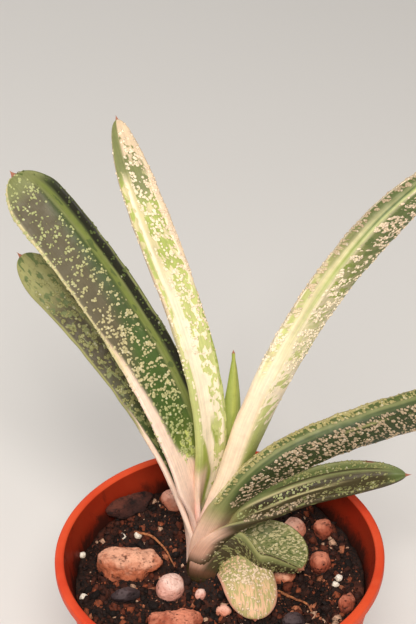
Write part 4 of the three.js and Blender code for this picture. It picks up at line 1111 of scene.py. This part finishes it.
def crumb_growth():
    """Scatters lumpy crumbs over the soil's top, many small and a few large, and joins them to it."""
    g = Growth("soil crumbs", [
        ("Density", "Float"), ("Smallest", "Float"), ("Largest", "Float"), ("Seed", "Int"),
        ("Material", "Material"),
    ])
    scattered = g.node("GeometryNodeDistributePointsOnFaces", {"distribute_method": "RANDOM"}, {
        "Mesh": g.input("Geometry"), "Density": g.input("Density") * g.stored("open"),
        "Seed": g.input("Seed"),
    })
    chance = g.random(0.0, 1.0, 1)
    size = g.input("Smallest") + (g.input("Largest") - g.input("Smallest")) * chance ** 6.0
    scale = g.node("ShaderNodeCombineXYZ", None, {
        0: size * g.random(0.8, 1.5, 2), 1: size, 2: size * g.random(0.55, 1.0, 3),
    })
    spin = g.node("FunctionNodeRandomValue", {"data_type": "FLOAT_VECTOR"}, {
        0: (0, 0, 0), 1: (6.28, 6.28, 6.28), "Seed": g.input("Seed") + 4,
    })
    crumbs = g.lumps({"Points": scattered, "Rotation": spin, "Scale": scale})
    crumbs = g.tagged(g.tagged(crumbs, "tint", g.random(0.02, 1.0, 5)), "bulk", size)
    real = g.node("GeometryNodeRealizeInstances", None, {"Geometry": crumbs})
    jolt = g.node("ShaderNodeTexNoise", None, {
        "Vector": g.node("GeometryNodeInputPosition"), "Scale": 1300.0, "Detail": 1.0,
    })
    push = jolt.out("Color").scaled((2.0, 2.0, 2.0)).vectors("SUBTRACT", (1, 1, 1))
    push = g.node("ShaderNodeVectorMath", {"operation": "SCALE"}, {
        0: push, "Scale": g.stored("bulk") * 1.3,
    })
    return g.joined(g.node("GeometryNodeSetPosition", None, {"Geometry": real, "Offset": push}))


def soil_finish():
    """Dark, damp potting soil: near-black peat with brown, rusty and pale crumbs."""
    f = Finish("damp potting soil")
    here = f.where()
    tint = f.mark("tint")
    fine = f.noise(here, 1500, 4.0, 0.65)
    broad = f.noise(here, 160, 3.0, 0.6)
    peat = f.blend(paint(22, 11, 7), paint(58, 32, 20), fine.between(0.4, 0.72))
    peat = f.blend(peat, paint(112, 54, 36), broad.between(0.52, 0.72) * 0.5)
    shades = [
        (0.0, (22, 11, 7)), (0.28, (42, 20, 13)), (0.5, (70, 33, 21)), (0.72, (106, 50, 30)),
        (0.85, (152, 78, 48)), (0.92, (186, 114, 80)), (0.962, (216, 172, 142)), (1.0, (238, 220, 198)),
    ]
    crumb = f.node("ShaderNodeValToRGB", {"stops": shades}, {"Fac": tint})
    crumb = f.blend(crumb, paint(20, 10, 6), fine.between(0.62, 0.36) * 0.55)
    colour = f.blend(peat, crumb, tint.above(0.01))
    roughness = fine.between(0.35, 0.65, 0.6, 0.95)
    normal = f.bump(fine + broad, 0.35)
    return f.finish(colour, roughness, normal, {"Specular IOR Level": 0.3})


def make_soil():
    rings, sides, walls = 66, 190, 8
    angles = np.arange(sides) / sides * 2 * np.pi
    gap = 0.3
    brim = pot_wall_radius(SOIL_LEVEL) - POT.wall - gap
    r = brim * (np.arange(1, rings + 1) / rings)[:, None]
    x, y = r * np.cos(angles), r * np.sin(angles)
    place = np.stack([x, y, 0 * x], axis=-1)
    lumps = 0.75 * rough_noise(place * 0.42, 11, 4) + 0.35 * np.abs(soft_noise(place * 0.9, 23))
    near_stem = np.hypot(x - FOOT[0], y - FOOT[1])
    fallen = LOOSE_SOIL.height * np.exp(-(near_stem / LOOSE_SOIL.spread) ** 4)
    z = soil_height(x, y) + lumps * 0.9 + fallen
    top = np.stack([x, y, z], axis=-1)
    lowest = POT.floor + gap
    wall = []
    for z_wall in np.linspace(SOIL_LEVEL - 4, lowest, walls):
        reach = pot_wall_radius(z_wall) - POT.wall - gap
        ring = [reach * np.cos(angles), reach * np.sin(angles), 0 * angles + z_wall]
        wall.append(np.stack(ring, axis=-1))
    points = np.concatenate([top, np.array(wall)])
    count = len(points)
    faces = ring_faces(count, sides)
    centre, bottom = count * sides, count * sides + 1
    faces += [(k, (k + 1) % sides, centre) for k in range(sides)]
    last = (count - 1) * sides
    faces += [(last + (k + 1) % sides, last + k, bottom) for k in range(sides)]
    ends = [(0, 0, z[0].mean()), (0, 0, lowest)]
    open_soil = smooth((near_stem - 2.5) / 1.5) * smooth((brim - 0.8 - r) / 0.5)
    marks = {"open": np.concatenate([open_soil.ravel(), np.zeros(walls * sides + 2)])}
    flipped = [face[::-1] for face in faces[:-2 * sides]] + faces[-2 * sides:]
    piece = mesh_piece("potting_soil", np.vstack([points.reshape(-1, 3), ends]), flipped, marks)
    finish = soil_finish()
    piece.data.materials.append(finish)
    grown(piece, crumb_growth(), {
        "Density": 1.85e6, "Smallest": 0.2 * MM, "Largest": 1.25 * MM, "Seed": 5, "Material": finish,
    })
    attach(piece, "root")
    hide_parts("soil")


# ---- stones, bark and perlite

# The name, the lightest, middle and darkest colour of each kind of stone, and what sets its skin apart.
STONE_KINDS = {
    "stone_tan": ("tan pumice stone", (232, 172, 142), (186, 104, 70), (108, 52, 34), dict(veins=0.35)),
    "stone_red_brown": (
        "rusty lava stone", (214, 134, 106), (156, 76, 52), (80, 36, 26), dict(speckle=700, pits=0.8)),
    "stone_white": (
        "milky quartz pebble", (244, 206, 192), (222, 160, 142), (176, 112, 96),
        dict(speckle=1200, pits=0.15, roughness=0.32)),
    "stone_dark": (
        "charcoal stone", (82, 66, 68), (52, 40, 42), (26, 19, 20), dict(speckle=800, roughness=0.6)),
    "stone_pink": (
        "pink pebble", (240, 184, 162), (210, 132, 104), (160, 88, 70),
        dict(speckle=1100, pits=0.25, roughness=0.5)),
    "bark": (
        "bark slab", (96, 50, 38), (56, 27, 21), (24, 12, 10),
        dict(speckle=600, roughness=0.8, veins=0.9)),
    "perlite": (
        "perlite grain", (250, 242, 228), (236, 220, 200), (180, 150, 124),
        dict(speckle=1900, pits=0.6, roughness=0.8)),
}


def dice(seed):
    """The same run of random numbers as the solids use."""
    state = seed
    while True:
        state = (state * 1664525 + 1013904223) % 2 ** 32
        yield state / 2 ** 32


def pebble_points(stone):
    """A lumpy pebble with chipped faces and a grain, set into the soil."""
    chance = dice(stone.seed)
    waves = []
    for _ in range(6):
        way = unit(np.array([next(chance) - 0.5, next(chance) - 0.5, next(chance) - 0.5]))
        waves.append((way, 2 + 3 * next(chance), 6 * next(chance)))
    points, faces = ball(stone.fineness)
    push = sum(np.sin(pitch * points @ way + phase) for way, pitch, phase in waves)
    points = points * (1 + 2 * stone.lump * push / 6)[:, None]
    spin = np.random.default_rng(stone.seed)
    for _ in range(stone.chips):
        way = unit(spin.normal(size=3))
        reach = points @ way
        limit = reach.max() * spin.uniform(0.78, 0.93)
        points = points - np.maximum(reach - limit, 0)[:, None] * way * 0.85
    points = points * np.array(stone.size, float) / 2
    pitted = np.maximum(soft_noise(points * 1.9, stone.seed + 9), 0) ** 2
    relief = stone.grain * (rough_noise(points * 0.55, stone.seed, 4) * 0.6 - pitted)
    points = points + unit(points) * (relief - stone.grain * 0.3)[:, None]
    tip, turn = rad(stone.tip), rad(stone.turn)
    x, y, z = points.T
    y, z = y * np.cos(tip) - z * np.sin(tip), y * np.sin(tip) + z * np.cos(tip)
    x, y = x * np.cos(turn) - y * np.sin(turn), x * np.sin(turn) + y * np.cos(turn)
    lift = soil_height(*stone.at) + stone.size[2] * (0.5 - stone.sunk)
    marks = {"relief": relief / stone.grain, "rise": z / np.abs(z).max()}
    return np.stack([x + stone.at[0], y + stone.at[1], z + lift], axis=-1), faces, marks


def stone_finish(name, light, middle, dark, speckle=900, pits=0.5, roughness=0.7, veins=0.0):
    """Stone with clouded colour, speckled grain, pits and soil caught in the hollows, painted paler on
    its upper part as a painted highlight and darker low down as painted shade.
    """
    f = Finish(name)
    here = f.where()
    broad = f.noise(here, 210, 3.0, 0.6)
    fine = f.noise(here, speckle, 4.0, 0.65)
    cell = f.node("ShaderNodeTexVoronoi", None, {"Vector": here, "Scale": speckle * 0.8})
    # Painted light: the stone is painted paler on its upper part as a painted highlight, and darker low
    # down as painted shade.
    rise = f.mark("rise") + (broad - 0.5) * 2.5
    colour = f.blend(middle, light, rise.between(0.1, 0.95))
    colour = f.blend(colour, dark, rise.between(0.1, -0.5) * 0.5)
    colour = f.blend(colour, dark, rise.between(0.9, 1.5) * 0.5)
    colour = f.blend(colour, dark, fine.between(0.5, 0.3) * 0.6)
    colour = f.blend(colour, light, fine.between(0.6, 0.76) * 0.5)
    layers = f.noise(here.scaled((300, 300, 1100)), 1.0, 3.0, 0.55)
    colour = f.blend(colour, dark, layers.between(0.5, 0.68) * veins)
    hollow = cell.out("Distance").between(0.22, 0.08) * pits
    colour = f.blend(colour, dark, hollow)
    colour = f.blend(colour, paint(40, 24, 17), f.mark("relief").between(-0.35, -0.9) * 0.7)
    normal = f.bump(fine * 0.8 + broad * 0.5 - hollow * 1.5 + layers * veins, 0.3)
    return f.finish(colour, roughness + fine * 0.15, normal, {"Specular IOR Level": 0.35})


def make_stones():
    finishes = {
        slot: stone_finish(name, paint(*light), paint(*middle), paint(*dark), **skin)
        for slot, (name, light, middle, dark, skin) in STONE_KINDS.items()
    }
    stones = {f"{node}_rough": {**settings, "node": node} for node, settings in STONES.items()}
    for i, at in enumerate(PERLITE_AT):
        stones[f"perlite_grain_{i + 1}"] = {
            **PERLITE, "at": at, "turn": 50 * i, "seed": PERLITE_SEED + i, "node": f"perlite_{i + 1}",
        }
    for name, settings in stones.items():
        stone = SimpleNamespace(**{**STONE, **settings})
        piece = mesh_piece(name, *pebble_points(stone))
        piece.data.materials.append(finishes[stone.slot])
        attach(piece, "root")
        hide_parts(stone.node)


# ---- threads, stem and roots


def fibre_finish(name, light, dark, scale):
    """A dry, fibrous skin with lengthwise lines."""
    f = Finish(name)
    here = f.where()
    fibre = f.noise(here.scaled((1.0, 1.0, 0.35)), scale, 4.0, 0.65, 0.5)
    blotch = f.noise(here, scale * 0.2, 2.0)
    colour = f.blend(dark, light, fibre.between(0.35, 0.65))
    colour = f.blend(colour, dark, blotch.between(0.5, 0.7) * 0.5)
    normal = f.bump(fibre, 0.2)
    return f.finish(colour, fibre.between(0.3, 0.7, 0.85, 0.55), normal)


def make_threads():
    finish = fibre_finish("dry root thread", paint(192, 122, 74), paint(112, 60, 36), 1200)
    for index, (node, path) in enumerate(THREADS.items()):
        centre = curve_through([(x, y, soil_height(x, y) + h) for x, y, h in path], THREAD_RINGS)
        wander = np.stack([soft_noise(centre * 0.6, 31 + index + k) for k in range(3)], axis=-1)
        share = np.linspace(0, 1, THREAD_RINGS)
        radii = THREAD_RADIUS * (0.95 - 0.45 * share) * (1 + 0.15 * soft_noise(centre * 1.4, 40))
        radii[0] = radii[-1] = 0.12
        skin, faces = tube(centre + wander * 0.16, radii, 12)
        piece = mesh_piece(f"{node}_fibre", skin, faces)
        piece.data.materials.append(finish)
        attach(piece, "root")
        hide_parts(node)


def make_stem():
    low = FOOT[2] - STEM.buried
    z = np.linspace(low, STEM.top, 60)
    radii = mix(STEM.foot_radius, STEM.top_radius, smooth((z - low) / (STEM.top - low)))
    rings = 1 + 0.03 * np.sin(z * 3.1) + 0.02 * np.sin(z * 7.7)
    path = stem_axis(z)
    parts = [tube(path, radii * rings, 36)]
    for i in range(ROOTS.count):
        heading = rad(ROOTS.first_heading) + i / ROOTS.count * 2 * np.pi
        share = np.linspace(0, 1, 40)
        start = stem_axis(FOOT[2] - ROOTS.start)
        reach = ROOTS.reach * np.sin(share * np.pi / 2)
        line = start + np.stack(
            [np.cos(heading) * reach, np.sin(heading) * reach, -ROOTS.depth * share ** 2], axis=-1)
        wander = np.stack([soft_noise(line * 0.3, 70 + i + k) for k in range(3)], axis=-1)
        girth = ROOTS.radius * (0.97 - 0.2 * share) * (1 + 0.05 * soft_noise(line, 90 + i))
        girth[-1] *= 0.4
        parts.append(tube(line + wander * 0.12, girth, 16))
    points, faces = [], []
    for part_points, part_faces in parts:
        faces += [tuple(k + len(points) for k in face) for face in part_faces]
        points += part_points.tolist()
    piece = mesh_piece("stem_with_roots", points, faces)
    piece.data.materials.append(
        fibre_finish("old stem skin", paint(150, 110, 100), paint(66, 38, 42), 700))
    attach(piece, "root")
    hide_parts("stem_and_roots")


# ---- floor, lights and camera

PLANT_HEART = (0.0, 0.01, 0.09)
CAMERA = SimpleNamespace(at=(-1.5, -318.8, 351.7), pitch=33.66, roll=-1.24, lens=100.04, sensor=36)


def make_floor():
    reach = 2600
    points = [(-reach, -reach, 0), (reach, -reach, 0), (reach, reach, 0), (-reach, reach, 0)]
    piece = mesh_piece("floor", points, [(0, 1, 2, 3)], smooth_shaded=False)
    f = Finish("pale matt floor")
    cloud = f.noise(f.where(), 3.0, 3.0)
    colour = f.blend(paint(232, 230, 227), paint(226, 224, 221), cloud)
    piece.data.materials.append(f.finish(colour, cloud.between(0.3, 0.7, 0.75, 0.85)))


def soft_light(name, eye, size, power, colour):
    """A round lamp that is turned to the middle of the plant."""
    light = bpy.data.lights.new(name, "AREA")
    light.shape = "DISK"
    light.size = size
    light.energy = power
    light.color = colour
    lamp = bpy.data.objects.new(name, light)
    bpy.context.collection.objects.link(lamp)
    turn = (Vector(PLANT_HEART) - Vector(eye)).normalized().to_track_quat("-Z", "Y")
    lamp.matrix_world = Matrix.Translation(eye) @ turn.to_matrix().to_4x4()


def make_lights():
    soft_light("key", (0.02, -0.62, 0.8), 0.34, 8.8, (1.0, 0.95, 0.89))
    soft_light("fill", (-0.8, -0.2, 0.6), 0.9, 1.6, (1.0, 0.96, 0.92))
    soft_light("back", (-0.5, 0.7, 0.75), 0.6, 1.6, (1.0, 0.98, 0.95))
    world = bpy.data.worlds.new("pale room")
    world.use_nodes = True
    room = world.node_tree.nodes["Background"].inputs
    room["Color"].default_value = (1.0, 0.97, 0.94, 1.0)
    room["Strength"].default_value = 0.32
    bpy.context.scene.world = world
    bpy.context.scene.view_settings.view_transform = "Standard"


def make_camera():
    pitch, roll = math.radians(CAMERA.pitch), math.radians(CAMERA.roll)
    ahead = Vector((0, math.cos(pitch), -math.sin(pitch)))
    level = Vector((1, 0, 0))
    upward = Vector((0, math.sin(pitch), math.cos(pitch)))
    right = level * math.cos(roll) + upward * math.sin(roll)
    up = upward * math.cos(roll) - level * math.sin(roll)
    lens = bpy.data.cameras.new("camera")
    lens.sensor_width = CAMERA.sensor
    lens.lens = CAMERA.lens
    lens.clip_start = 0.01
    lens.clip_end = 20
    camera = bpy.data.objects.new("camera", lens)
    bpy.context.collection.objects.link(camera)
    turn = Matrix((right, up, -ahead)).transposed()
    camera.matrix_world = Matrix.Translation(Vector(CAMERA.at) * MM) @ turn.to_4x4()
    bpy.context.scene.camera = camera


make_camera()
make_lights()
make_floor()
make_pot()
make_soil()
make_stones()
make_threads()
make_stem()
warts = wart_growth()
for index, (name, settings) in enumerate(LEAVES.items()):
    make_leaf(index, name, settings, warts)
